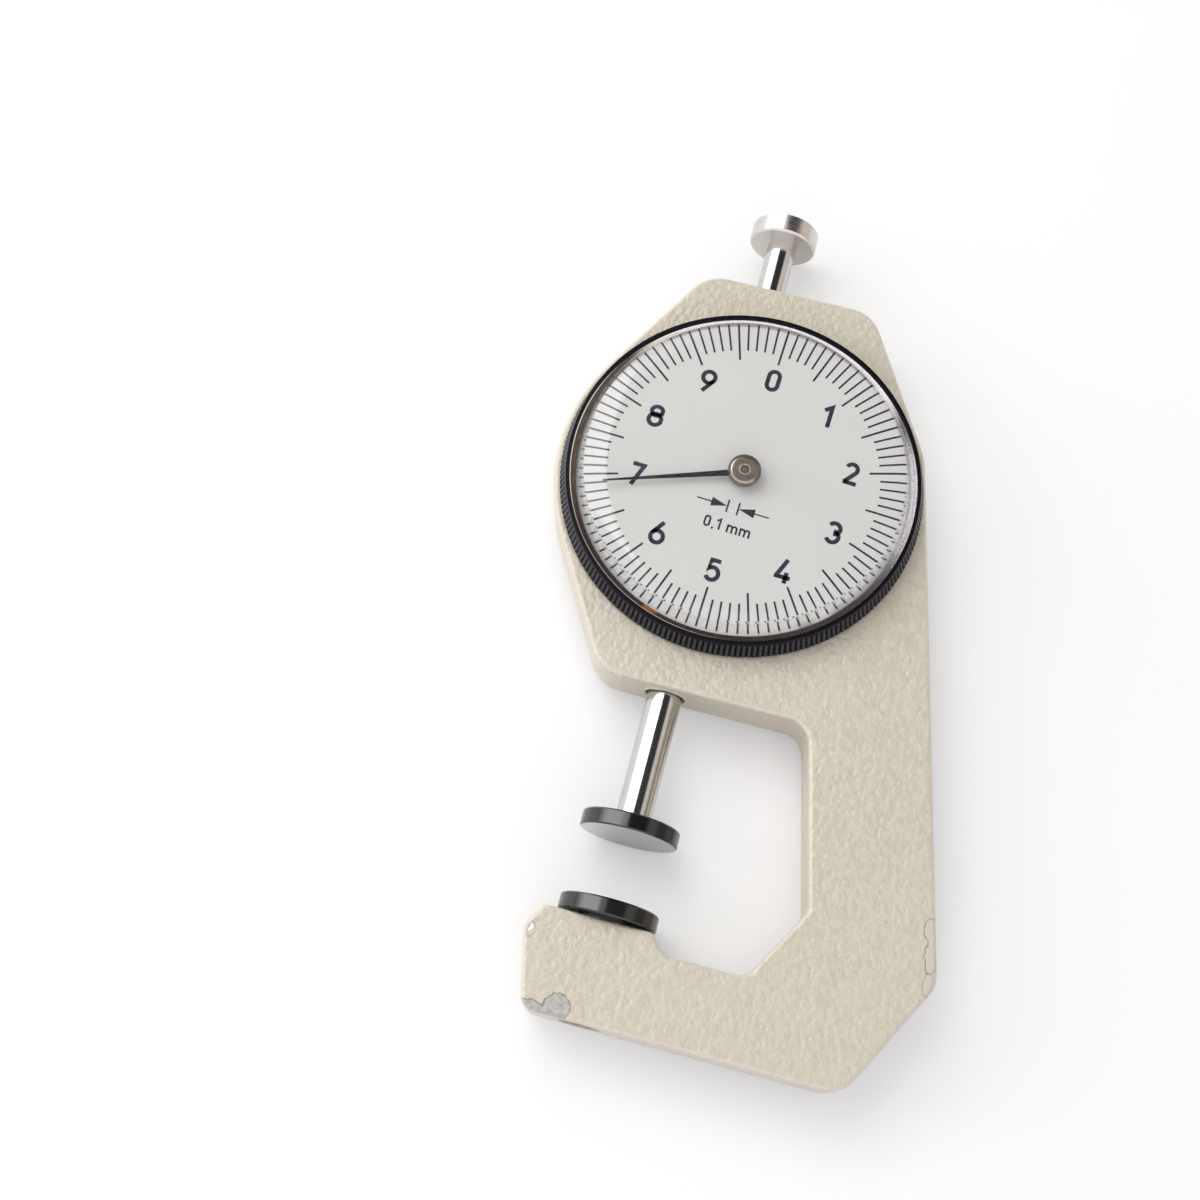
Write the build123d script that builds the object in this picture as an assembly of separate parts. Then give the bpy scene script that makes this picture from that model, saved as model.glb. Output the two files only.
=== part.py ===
from build123d import *
from math import atan2, cos, degrees, pi, radians, sin, sqrt, tan
import os

# Pocket dial thickness gauge for gemstones: a flat C-shaped frame whose round housing
# carries a direct-drive dial, and whose arm carries the fixed anvil.
#
# X runs from the spindle towards the column, Y runs up along the spindle, Z comes out of
# the dial.  The origin is the centre of the fixed anvil's measuring face.  All lengths
# are in millimetres, angles in degrees.

# ---- measuring stroke ---------------------------------------------------------------
gap_at_rest = 6.9               # opening between the anvils as modelled
stroke = 10.0                   # full lift of the spindle, and its travel for one turn of the needle
zero_turn = 3.0                 # clockwise turn of the zero mark away from the Y axis

# ---- fits ---------------------------------------------------------------------------
running_clearance = 0.03        # radial, of a shaft or pin in its guide
slide_clearance = 0.05          # between flat faces that pass each other
loose_clearance = 0.05          # radial, of a piece dropped into its recess

# ---- frame outline ------------------------------------------------------------------
plate_thickness = 6.5
edge_round = 0.45               # rounding of the cast edges, front and back
dial_x = 2.2                    # dial axis, beside the spindle axis
dial_y = 45.5
flank_margin = 0.65             # slanted flanks of the housing beyond the bezel
housing_half_height = 23.4      # dial axis to the flat top and bottom of the housing
flank_angle = 60.0              # slope of the housing flanks and of the arm's chamfers
housing_corner_radius = 4.0
shoulder_radius = 8.0           # where the right flank runs into the column
column_lean = 12.5              # lean of the column away from the spindle axis
column_width = 12.3
knee_x = 18.7                   # inner corner between the column and the throat
knee_y = 3.95
knee_radius = 1.0
elbow_y = 0.2                   # outer corner of the column
elbow_radius = 2.5
arm_height = 10.0
heel_angle = 61.0               # slope of the outer edge below the elbow
heel_radius = 3.0               # outer corner under the throat
toe_radius = 1.5                # outer corner under the anvil
nose_x = -7.55                  # furthest point of the arm
nose_drop = 2.45                # nose below the top of the arm
nose_lean = 13.5
nose_radius = 0.8
step_x = 4.8                    # where the arm's top drops into the throat
throat_drop = 1.8
step_radius = 0.8
throat_radius = 2.0
crotch_radius = 2.5             # inner corner between the housing and the column

# ---- anvils, spindle and knob -------------------------------------------------------
anvil_radius = 5.0
anvil_thickness = 1.65
anvil_chamfer = 0.15
anvil_seat_radius = 3.0         # raised seat under the fixed anvil
anvil_seat_height = 0.25
anvil_stem_radius = 1.75
anvil_stem_length = 4.0
spindle_radius = 1.8            # below the rack
rack_rod_radius = 1.6           # rack and upper rod
anvil_thread_radius = 1.0       # threaded tail of the moving anvil
anvil_thread_length = 4.5
knob_radius = 3.7
knob_thickness = 2.25
knob_chamfer = 0.2
knob_free_lift = 0.2            # knob above the housing when the gauge is closed
knob_neck_radius = 1.1

# ---- rack and pinion ----------------------------------------------------------------
pinion_teeth = 16
pressure_angle = 20.0
addendum_share = 0.8            # of the module, tooth tip beyond the pitch line
dedendum_share = 1.15           # of the module, tooth root behind the pitch line
backlash = 0.03                 # tooth thinning at the pitch line
mesh_relief = 0.02              # centre distance beyond the exact one
pinion_face = 2.6
rack_end_margin = 0.4           # plain flat beyond the last contact

# ---- movement -----------------------------------------------------------------------
boss_wall = 1.6                 # wall of the round boss that the bezel turns on
ledge_width = 1.2               # ledge that carries the movement plate and the cover
movement_plate_thickness = 1.0
cover_recess_depth = 0.8
cover_thickness = 0.75
lug_radius = 2.2                # screw posts in the cavity
lug_inset = 1.6                 # screw posts inside the chamber's wall
lug_angles = (0.0, 135.0, 225.0)
screw_radius = 0.75
screw_head_radius = 1.4
screw_head_height = 0.7
screw_length = 2.4
slot_width = 0.35
arbor_radius = 0.6
pivot_radius = 0.3
bearing_wall = 0.7
bridge_thickness = 0.7
bridge_margin = 1.7             # bridge beyond its pillars
pillar_radius = 1.2
pillar_rivet_radius = 0.7
pillar_offset = 7.0             # pillars left and right of the arbor
hairspring_turns = 4.5
hairspring_inner_radius = 1.3
hairspring_outer_radius = 4.8
hairspring_strip = 0.12
hairspring_height = 0.35
hairspring_lift = 0.4           # above the movement plate
collet_radius = 1.24

# ---- carrier, return spring and guides ----------------------------------------------
carrier_width = 5.2
carrier_height = 2.6
stop_inset = 7.9                # flat that stops the carrier, below the housing's top
stop_seat_margin = 0.6          # notch beyond each side of the carrier
guide_pin_radius = 0.6
guide_bore_radius = 2.5         # bore of the housing's top wall, for bush and spring
upper_bush_length = 3.7
lower_bush_radius = 2.7
lower_bush_length = 5.0
mouth_gap = 0.3                 # radial, rim of the cast hole round the spindle
mouth_depth = 1.0
spring_wire_radius = 0.175
spring_outer_radius = 2.1
spring_turns = 7

# ---- bezel, dial and crystal --------------------------------------------------------
bezel_radius = 19.05
bezel_wall = 1.2
bezel_gap = 0.15                # bezel above the frame's front
bezel_back_chamfer = 0.15
knurl_start = 0.5               # straight side of the bezel above the frame's front
knurl_collar = 0.3              # plain collar between the flutes and the rim's front
knurl_depth = 0.16
knurl_count = 210
rim_height = 2.65               # front rim above the frame's front
rim_taper = 0.65                # rim inside the knurled band
rim_width = 0.35
lip_thickness = 0.4
lip_width = 0.45
dial_thickness = 0.4
dial_hole_radius = 1.5
dial_ring_width = 0.8
dial_ring_thickness = 0.35
dial_ring_gap_angle = 14.0
boss_height = 1.0
retaining_wire_radius = 0.2
retaining_wire_height = 0.6     # wire's centre above the frame's front
retaining_gap_angle = 24.0
crystal_flange = 0.4
crystal_top = 4.7               # crystal's front above the frame's front
crystal_thickness = 0.8
crystal_flat_radius = 14.2
crystal_shoulder_drop = 0.3
crystal_wall = 0.6
crystal_bore_draft = 0.1
crystal_draft = 0.4             # front of the crystal inside its foot
crystal_edge_chamfer = 0.15

# ---- needle -------------------------------------------------------------------------
needle_gap = 2.35               # needle's tip inside the crystal
needle_tail = 1.2
needle_root_width = 0.7
needle_tip_width = 0.16
needle_thickness = 0.15
needle_height = 2.55            # needle above the frame's front
hub_radius = 1.72
hub_stem_radius = 1.1
hub_bottom = 2.2
hub_cap_height = 0.95
hub_dimple_radius = 0.5
hub_dimple_depth = 0.3

# ---- fixed anvil's screw ------------------------------------------------------------
anvil_screw_radius = 1.0
anvil_screw_head_radius = 1.9
anvil_screw_head_height = 1.5
anvil_screw_recess_radius = 2.1
anvil_screw_recess_depth = 2.6

# ---- places worked out from the sizes above -----------------------------------------
bezel_bore = bezel_radius - bezel_wall
dial_radius = bezel_bore - loose_clearance
boss_radius = bezel_bore - slide_clearance
recess_radius = boss_radius - boss_wall
cavity_radius = recess_radius - ledge_width
lug_circle_radius = cavity_radius - lug_inset
housing_apothem = bezel_radius + flank_margin
rim_outer_radius = bezel_radius - rim_taper
rim_inner_radius = rim_outer_radius - rim_width
lip_radius = bezel_bore - lip_width
crystal_front_radius = lip_radius - loose_clearance - crystal_draft
needle_length = crystal_front_radius - needle_gap
front = plate_thickness / 2
back = -front
housing_top = dial_y + housing_half_height
housing_bottom = dial_y - housing_half_height
lift = stroke - gap_at_rest
arm_top = -(anvil_thickness + anvil_seat_height)
arm_bottom = arm_top - arm_height
throat_floor = arm_top - throat_drop
plate_back = front - movement_plate_thickness
cover_inner = back + cover_recess_depth
knob_y = housing_top + gap_at_rest + knob_free_lift
spindle_bottom = gap_at_rest + anvil_thickness
pitch_radius = stroke / (2 * pi)
rack_pitch = stroke / pinion_teeth
gear_module = rack_pitch / pi
addendum = addendum_share * gear_module
dedendum = dedendum_share * gear_module
pinion_tip_radius = pitch_radius + addendum
rack_line = dial_x - pitch_radius - mesh_relief
rack_bottom = dial_y - lift - pinion_tip_radius - rack_end_margin
rack_top = dial_y + gap_at_rest + pinion_tip_radius + rack_end_margin
bridge_width = 2 * (pinion_tip_radius + rack_end_margin) - 4 * slide_clearance
stop_seat_y = housing_top - stop_inset
carrier_top = stop_seat_y - lift - slide_clearance
carrier_bottom = carrier_top - carrier_height
carrier_mid = (carrier_top + carrier_bottom) / 2
upper_bush_bottom = housing_top - upper_bush_length
lower_bush_bottom = housing_bottom + mouth_depth
bezel_back = front + bezel_gap
rim_z = front + rim_height
lip_z = rim_z - lip_thickness
dial_front = lip_z - crystal_flange
dial_back = dial_front - dial_thickness
wire_z = front + retaining_wire_height
wire_ring_radius = (boss_radius + bezel_bore) / 2
groove_reach = retaining_wire_radius + running_clearance
crystal_z = front + crystal_top
needle_z = front + needle_height
hub_z = front + hub_bottom
cap_z = needle_z + needle_thickness
hub_top = cap_z + hub_cap_height
bridge_back = cover_inner + slide_clearance
bridge_front = bridge_back + bridge_thickness
hairspring_z = front + hairspring_lift
dial_axis = Pos(dial_x, dial_y, 0)


def disc(radius, low, high):
    """Round disc on the Z axis between two heights."""
    return Pos(0, 0, (low + high) / 2) * Cylinder(radius, high - low)


def ring(outer, inner, low, high):
    """Flat ring on the Z axis between two heights."""
    return disc(outer, low, high) - disc(inner, low - 1, high + 1)


def rod(radius, low, high):
    """Round rod on the Y axis between two heights along the spindle."""
    return Pos(0, (low + high) / 2, 0) * Rot(X=90) * Cylinder(radius, high - low)


def block(x, y, z):
    """Rectangular block from three (low, high) pairs."""
    spans = (x, y, z)
    middle = [(low + high) / 2 for low, high in spans]
    return Pos(*middle) * Box(*(high - low for low, high in spans))


def turned(profile):
    """Solid of revolution about the Z axis from (radius, height) points."""
    section = make_face(Polyline(*[(r, 0, z) for r, z in profile], close=True))
    return revolve(section, Axis.Z)


def around(angles, radius, piece):
    """Copies of a piece standing on a circle about the Z axis."""
    return [Pos(radius * cos(radians(a)), radius * sin(radians(a)), 0) * piece for a in angles]


def gap_sector(angle, reach, low, high):
    """Wedge about the -Y direction that opens the gap of a split ring."""
    half = reach * tan(radians(angle / 2))
    wedge = make_face(Polyline((0, 0), (half, -reach), (-half, -reach), close=True))
    return Pos(0, 0, low) * extrude(wedge, high - low)


# ---- frame --------------------------------------------------------------------------

def frame_outline():
    """Closed outline of the C-shaped frame, clockwise from the housing's top left."""
    run = cos(radians(90 - flank_angle))
    rise = sin(radians(90 - flank_angle))
    slope = tan(radians(flank_angle))
    lean = tan(radians(column_lean))
    flat_half = (housing_apothem - housing_half_height * rise) / run
    knee_to_outer = column_width / cos(radians(column_lean))

    def inner_x(y):
        return knee_x + (knee_y - y) * lean

    def outer_x(y):
        return inner_x(y) + knee_to_outer

    # The right flank obeys run*(x - dial_x) + rise*(y - dial_y) = housing_apothem.
    shoulder_y = dial_y + (housing_apothem - run * (outer_x(dial_y) - dial_x)) / (rise - run * lean)
    elbow_x = outer_x(elbow_y)
    nose_y = arm_top - nose_drop
    corners = [
        ((dial_x - flat_half, housing_top), housing_corner_radius),
        ((dial_x + flat_half, housing_top), housing_corner_radius),
        ((outer_x(shoulder_y), shoulder_y), shoulder_radius),
        ((elbow_x, elbow_y), elbow_radius),
        ((elbow_x - (elbow_y - arm_bottom) / tan(radians(heel_angle)), arm_bottom), heel_radius),
        ((nose_x + (nose_y - arm_bottom) * tan(radians(nose_lean)), arm_bottom), toe_radius),
        ((nose_x, nose_y), nose_radius),
        ((nose_x + nose_drop / slope, arm_top), nose_radius),
        ((step_x, arm_top), step_radius),
        ((step_x + throat_drop / slope, throat_floor), throat_radius),
        ((knee_x - (knee_y - throat_floor) / slope, throat_floor), throat_radius),
        ((knee_x, knee_y), knee_radius),
        ((inner_x(housing_bottom), housing_bottom), crotch_radius),
        ((dial_x - flat_half, housing_bottom), housing_corner_radius),
        ((dial_x - housing_apothem / run, dial_y), housing_apothem),
    ]
    points = [point for point, _ in corners]
    radii = [radius for _, radius in corners]
    return make_face(FilletPolyline(*points, radius=radii, close=True))


def screw_hole(low, high):
    """Tapped hole of a small machine screw."""
    return disc(screw_radius + loose_clearance, low, high)


def movement_cavity():
    """Everything taken out of the housing for the movement, its plate and its cover."""
    chamber = disc(cavity_radius, cover_inner, plate_back)
    seat_z = (cover_inner, plate_back)
    for post in around(lug_angles, lug_circle_radius, disc(lug_radius, *seat_z)):
        chamber -= post
    for angle in lug_angles:
        web = block((lug_circle_radius, recess_radius), (-lug_radius, lug_radius), seat_z)
        chamber -= Rot(Z=angle) * web
    recess = disc(recess_radius, plate_back, front + boss_height + 1)
    recess += disc(recess_radius, back - 1, cover_inner)
    return dial_axis * (chamber + recess)


def frame():
    """Cast frame with its chamber, bores, bezel boss and edge rounding."""
    plate = Pos(0, 0, back) * extrude(frame_outline(), plate_thickness)
    rims = plate.faces().filter_by(Axis.Z).edges()
    plate = fillet(rims, edge_round)
    plate += dial_axis * disc(boss_radius, front - 1, front + boss_height)
    groove = ring(boss_radius + 1, wire_ring_radius - groove_reach,
                  wire_z - groove_reach, wire_z + groove_reach)
    plate -= dial_axis * groove
    plate -= movement_cavity()
    half = carrier_width / 2 + stop_seat_margin
    stop_seat = block((-half, half), (dial_y, stop_seat_y), (cover_inner, plate_back))
    keep_clear = dial_axis * disc(cavity_radius - ledge_width, cover_inner, plate_back)
    plate -= stop_seat - keep_clear
    plate -= rod(guide_bore_radius, dial_y + cavity_radius / 2, housing_top + 1)
    plate -= rod(lower_bush_radius, lower_bush_bottom, dial_y - cavity_radius / 2)
    plate -= rod(spindle_radius + mouth_gap, housing_bottom - 1, lower_bush_bottom + 1)
    plate -= rod(anvil_stem_radius + loose_clearance, arm_top - anvil_stem_length, arm_top + 1)
    plate -= rod(anvil_screw_radius + loose_clearance, arm_bottom - 1, arm_top)
    plate -= rod(anvil_screw_recess_radius, arm_bottom - 1, arm_bottom + anvil_screw_recess_depth)
    for angle in lug_angles:
        place = dial_axis * Rot(Z=angle) * Pos(lug_circle_radius, 0, 0)
        plate -= place * screw_hole(plate_back - screw_length, plate_back + 1)
        plate -= place * screw_hole(cover_inner - 1, back + screw_length)
    return plate


# ---- fixed pieces -------------------------------------------------------------------

def slotted(head, radius, top, depth):
    """Cut a screwdriver slot into the +Z face of a screw's head."""
    half = slot_width / 2
    return head - block((-radius - 1, radius + 1), (-half, half), (top - depth, top + 1))


def plate_screws():
    """Cheese-head screws that hold the movement plate."""
    head_top = front + screw_head_height
    screw = disc(screw_head_radius, front, head_top) + disc(screw_radius, front - screw_length, front)
    screw = slotted(screw, screw_head_radius, head_top, screw_head_height / 2)
    return dial_axis * Compound(children=around(lug_angles, lug_circle_radius, screw))


def countersink(radius, low, high):
    """Cone that widens towards the back."""
    return turned([(0, low), (radius, low), (radius - (high - low), high), (0, high)])


def cover_screws():
    """Countersunk screws that hold the rear cover, flush with it."""
    outer = back + cover_recess_depth - cover_thickness
    sink = screw_head_radius - screw_radius
    screw = countersink(screw_head_radius, outer, outer + sink)
    screw += disc(screw_radius, outer + sink, back + screw_length)
    half = slot_width / 2
    cut = block((-screw_head_radius, screw_head_radius), (-half, half), (outer - 1, outer + sink / 2))
    return dial_axis * Compound(children=around(lug_angles, lug_circle_radius, screw - cut))


def rear_cover():
    """Round cover that closes the chamber from the back."""
    outer = back + cover_recess_depth - cover_thickness
    cover = disc(recess_radius - loose_clearance, outer, cover_inner)
    cover = chamfer(cover.edges().group_by(Axis.Z)[0], edge_round / 3)
    sink = screw_head_radius - screw_radius + loose_clearance
    hole = countersink(screw_head_radius + loose_clearance, outer, outer + sink)
    hole += disc(screw_radius + loose_clearance, outer, cover_inner + 1)
    for copy in around(lug_angles, lug_circle_radius, hole):
        cover -= copy
    return dial_axis * cover


def movement_plate():
    """Front plate of the movement, with the slot that guides the spindle's pin."""
    plate = disc(recess_radius - loose_clearance, plate_back, front)
    for copy in around(lug_angles, lug_circle_radius, disc(screw_radius + loose_clearance,
                                                           plate_back - 1, front + 1)):
        plate -= copy
    plate -= disc(arbor_radius + bearing_wall, plate_back - 1, front + 1)
    for side in (-1, 1):
        plate -= Pos(side * pillar_offset, 0, 0) * disc(pillar_rivet_radius, plate_back - 1, front + 1)
    plate = dial_axis * plate
    half = guide_pin_radius + running_clearance
    low = carrier_mid - gap_at_rest - slide_clearance
    high = carrier_mid + lift + slide_clearance
    slot = block((-half, half), (low, high), (plate_back - 1, front + 1))
    for end in (low, high):
        slot += Pos(0, end, 0) * disc(half, plate_back - 1, front + 1)
    return plate - slot


def movement_pillars():
    """Pair of pillars riveted between the movement plate and the rear bridge."""
    pillar = disc(pillar_radius, bridge_front, plate_back)
    pillar += disc(pillar_rivet_radius, bridge_back, front)
    sides = [Pos(side * pillar_offset, 0, 0) * pillar for side in (-1, 1)]
    return dial_axis * Compound(children=sides)


def rear_bridge():
    """Narrow bridge behind the pinion that carries the arbor's rear pivot."""
    half = pillar_offset + bridge_margin
    outline = RectangleRounded(2 * half, bridge_width, bridge_width / 2 - slide_clearance)
    bridge = Pos(0, 0, bridge_back) * extrude(outline, bridge_thickness)
    bridge -= disc(pivot_radius + bearing_wall, bridge_back - 1, bridge_front + 1)
    for side in (-1, 1):
        bridge -= Pos(side * pillar_offset, 0, 0) * disc(pillar_rivet_radius, bridge_back - 1,
                                                         bridge_front + 1)
    return dial_axis * bridge


def front_bearing():
    """Bush in the movement plate that the arbor turns in."""
    bush = ring(arbor_radius + bearing_wall, arbor_radius + running_clearance, plate_back, front)
    return dial_axis * bush


def rear_bearing():
    """Bush in the rear bridge for the arbor's pivot."""
    bush = ring(pivot_radius + bearing_wall, pivot_radius + running_clearance,
                bridge_back, bridge_front)
    return dial_axis * bush


def upper_guide_bush():
    """Bush in the housing's top wall, and the fixed seat of the return spring."""
    return rod(guide_bore_radius, upper_bush_bottom, housing_top) - rod(
        rack_rod_radius + running_clearance, upper_bush_bottom - 1, housing_top + 1)


def lower_guide_bush():
    """Bush in the housing's bottom wall."""
    top = lower_bush_bottom + lower_bush_length
    return rod(lower_bush_radius, lower_bush_bottom, top) - rod(
        spindle_radius + running_clearance, lower_bush_bottom - 1, top + 1)


def anvil_disc(low, high):
    """Flat round anvil with chamfered edges."""
    body = rod(anvil_radius, low, high)
    rims = body.edges().filter_by(GeomType.CIRCLE)
    return chamfer(rims, anvil_chamfer)


def lower_anvil():
    """Fixed anvil with its seat and its stem in the arm."""
    anvil = anvil_disc(-anvil_thickness, 0)
    anvil += rod(anvil_seat_radius, arm_top, -anvil_thickness + anvil_chamfer)
    anvil += rod(anvil_stem_radius, arm_top - anvil_stem_length, arm_top + anvil_chamfer)
    depth = anvil_stem_length * 3 / 4
    return anvil - rod(anvil_screw_radius, arm_top - anvil_stem_length - 1,
                       arm_top - anvil_stem_length + depth)


def anvil_screw():
    """Cheese-head screw that pulls the fixed anvil down from below."""
    seat = arm_bottom + anvil_screw_recess_depth
    head_low = seat - anvil_screw_head_height
    tip = arm_top - anvil_stem_length / 2
    screw = rod(anvil_screw_head_radius, head_low, seat) + rod(anvil_screw_radius, seat, tip)
    half = slot_width
    reach = anvil_screw_head_radius + 1
    slot_top = head_low + anvil_screw_head_height / 2
    return screw - block((-reach, reach), (head_low - 1, slot_top), (-half, half))


def retaining_wire():
    """Split wire ring that locks the bezel on the frame's boss and lets it turn."""
    wire = Pos(0, 0, wire_z) * Torus(wire_ring_radius, retaining_wire_radius)
    return dial_axis * (wire - gap_sector(retaining_gap_angle, bezel_radius, front - 1, dial_front))


def hairspring_stud():
    """Post on the movement plate that holds the hairspring's outer end."""
    centre = hairspring_outer_radius + hairspring_strip + slide_clearance + pivot_radius
    top = hairspring_z + hairspring_height
    return dial_axis * Pos(0, -centre, 0) * disc(pivot_radius, front, top)


# ---- spindle ------------------------------------------------------------------------

def rack_teeth_cut():
    """Flat and tooth spaces that turn one side of the spindle's rod into a rack."""
    reach = spindle_radius + 1
    tip_x = rack_line + addendum
    root_x = rack_line - dedendum
    cut = block((tip_x, reach), (rack_bottom, rack_top), (-reach, reach))
    flank = tan(radians(pressure_angle))
    half_at_line = rack_pitch / 4 + backlash / 4
    root_half = half_at_line - dedendum * flank
    tip_half = half_at_line + addendum * flank
    space = make_face(Polyline((root_x, -root_half), (root_x, root_half),
                               (tip_x, tip_half), (reach, tip_half),
                               (reach, -tip_half), (tip_x, -tip_half), close=True))
    below = int((dial_y - rack_bottom - tip_half) / rack_pitch)
    above = int((rack_top - dial_y - tip_half) / rack_pitch)
    tool = Pos(0, 0, -reach) * extrude(space, 2 * reach)
    spaces = [Pos(0, dial_y + index * rack_pitch, 0) * tool for index in range(-below, above + 1)]
    return cut, spaces


def spindle():
    """Measuring rod: thick below, a rack beside the pinion and a thinner rod above."""
    shaft = rod(spindle_radius, spindle_bottom, rack_bottom)
    shaft += rod(rack_rod_radius, rack_bottom, knob_y)
    shaft += rod(knob_neck_radius, knob_y, knob_y + knob_thickness)
    flat, spaces = rack_teeth_cut()
    shaft = shaft - flat
    shaft = shaft - spaces
    shaft -= rod(anvil_thread_radius, spindle_bottom - 1, spindle_bottom + anvil_thread_length)
    return shaft


def upper_anvil():
    """Moving anvil, screwed into the spindle's lower end."""
    anvil = anvil_disc(gap_at_rest, spindle_bottom)
    return anvil + rod(anvil_thread_radius, gap_at_rest + anvil_chamfer,
                       spindle_bottom + anvil_thread_length - slide_clearance)


def lifting_knob():
    """Round knob on the spindle's upper end, lifted with a fingertip."""
    top = knob_y + knob_thickness
    knob = rod(knob_radius, knob_y, top)
    knob = chamfer(knob.edges().filter_by(GeomType.CIRCLE), knob_chamfer)
    return knob - rod(knob_neck_radius, knob_y - 1, top + 1)


def carrier():
    """Brass block on the spindle: spring seat, lift stop and holder of the guide pin."""
    half = carrier_width / 2
    body = block((-half, half), (carrier_bottom, carrier_top),
                 (bridge_back, plate_back - slide_clearance))
    body = chamfer(body.edges().filter_by(Axis.Y), edge_round)
    body -= rod(rack_rod_radius, carrier_bottom - 1, carrier_top + 1)
    return body - Pos(0, carrier_mid, 0) * disc(guide_pin_radius, 0, plate_back)


def guide_pin():
    """Pin that keeps the spindle from turning: it runs in the movement plate's slot."""
    return Pos(0, carrier_mid, 0) * disc(guide_pin_radius, rack_rod_radius, front - slide_clearance)


def return_spring():
    """Open coil spring between the upper bush and the carrier."""
    coil_radius = spring_outer_radius - spring_wire_radius
    low = carrier_top + spring_wire_radius
    length = upper_bush_bottom - carrier_top - 2 * spring_wire_radius
    path = Helix(pitch=length / spring_turns, height=length, radius=coil_radius,
                 center=(0, low, 0), direction=(0, 1, 0))
    wire = Plane(origin=path @ 0, z_dir=path % 0) * Circle(spring_wire_radius)
    return sweep(wire, path)


# ---- arbor, pinion and needle -------------------------------------------------------

def tooth_outline():
    """One pinion tooth about the -X direction: radial root, involute flanks, flat tip."""
    base = pitch_radius * cos(radians(pressure_angle))
    root = pitch_radius - dedendum

    def spread(radius):
        roll = sqrt(max(radius * radius / (base * base) - 1, 0.0))
        return roll - atan_of(roll)

    half_at_pitch = (rack_pitch / 4 - backlash / 4) / pitch_radius

    def flank_point(radius, side):
        half = half_at_pitch + spread(pitch_radius) - spread(radius)
        return (-radius * cos(half), side * radius * sin(half))

    middle = (base + pinion_tip_radius) / 2
    tip_half = half_at_pitch + spread(pitch_radius) - spread(pinion_tip_radius)
    root_half = half_at_pitch + spread(pitch_radius)
    radii = (base, middle, pinion_tip_radius)
    upper = Spline(*[flank_point(r, 1) for r in radii])
    lower = Spline(*[flank_point(r, -1) for r in reversed(radii)])
    tip = ThreePointArc(flank_point(pinion_tip_radius, 1), (-pinion_tip_radius, 0),
                        flank_point(pinion_tip_radius, -1))
    foot_top = (-root * cos(root_half) / 2, root * sin(root_half) / 2)
    foot_low = (foot_top[0], -foot_top[1])
    foot = Polyline(flank_point(base, -1), foot_low, foot_top, flank_point(base, 1))
    return make_face([upper, tip, lower, foot])


def atan_of(value):
    """Angle in radians whose tangent is the value."""
    return radians(Vector(1, 0, 0).get_angle(Vector(1, value, 0)))


def pinion():
    """Pinion that the rack turns once for the full travel."""
    root = pitch_radius - dedendum
    low = -pinion_face / 2
    body = disc(root, low, -low)
    tooth = Pos(0, 0, low) * extrude(tooth_outline(), pinion_face)
    body += [Rot(Z=index * 360 / pinion_teeth) * tooth for index in range(pinion_teeth)]
    return dial_axis * (body - disc(arbor_radius, low - 1, 1 - low))


def arbor():
    """Shaft through the pinion, from the rear pivot to the needle."""
    shaft = disc(pivot_radius, bridge_back, bridge_front + slide_clearance)
    shaft += disc(arbor_radius, bridge_front + slide_clearance, hub_top - hub_dimple_depth)
    return dial_axis * shaft


def hairspring_collet():
    """Split collar that holds the hairspring's inner end on the arbor."""
    collar = ring(collet_radius, arbor_radius, hairspring_z, hairspring_z + hairspring_height)
    return dial_axis * (collar - block((0, 2 * collet_radius), (-slot_width / 2, slot_width / 2),
                                       (hairspring_z - 1, dial_front)))


def hairspring():
    """Flat spiral spring that takes up the play between rack and pinion."""
    growth = (hairspring_outer_radius - hairspring_inner_radius) / hairspring_turns
    steps_per_turn = 6
    count = int(hairspring_turns * steps_per_turn)

    def edge_of(offset):
        points = []
        for index in range(count + 1):
            turn = index / steps_per_turn
            radius = hairspring_inner_radius + growth * turn + offset
            angle = -pi / 2 + 2 * pi * (turn - hairspring_turns)
            points.append((radius * cos(angle), radius * sin(angle)))
        return Spline(*points)

    inner = edge_of(-hairspring_strip / 2)
    outer = edge_of(hairspring_strip / 2)
    strip = make_face([inner, Line(inner @ 1, outer @ 1), outer, Line(outer @ 0, inner @ 0)])
    return dial_axis * Pos(0, 0, hairspring_z) * extrude(strip, hairspring_height)


def needle_place():
    """Place of the needle at rest, read clockwise from the Y axis."""
    reading = 360 * gap_at_rest / stroke
    return dial_axis * Rot(Z=-(zero_turn + reading))


def needle():
    """Thin tapering needle with a short counterweight tail."""
    root = needle_root_width / 2
    tip = needle_tip_width / 2
    blade = make_face(Polyline((-root, -needle_tail), (root, -needle_tail), (root, 0),
                               (tip, needle_length), (-tip, needle_length), (-root, 0), close=True))
    body = Pos(0, 0, needle_z) * extrude(blade, needle_thickness)
    body += disc(hub_stem_radius + needle_root_width / 2, needle_z, cap_z)
    body -= disc(hub_stem_radius, needle_z - 1, cap_z + 1)
    return needle_place() * body


def needle_hub():
    """Turned hub with a flat cap that holds the needle on the arbor."""
    edge = edge_round / 3
    hub = turned([(0, hub_z), (hub_stem_radius, hub_z), (hub_stem_radius, cap_z),
                  (hub_radius, cap_z), (hub_radius, hub_top - edge), (hub_radius - edge, hub_top),
                  (0, hub_top)])
    hub -= disc(hub_dimple_radius, hub_top - hub_dimple_depth, hub_top + 1)
    return dial_axis * (hub - disc(arbor_radius, hub_z - 1, hub_top - hub_dimple_depth))


# ---- bezel, dial and crystal --------------------------------------------------------

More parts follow.
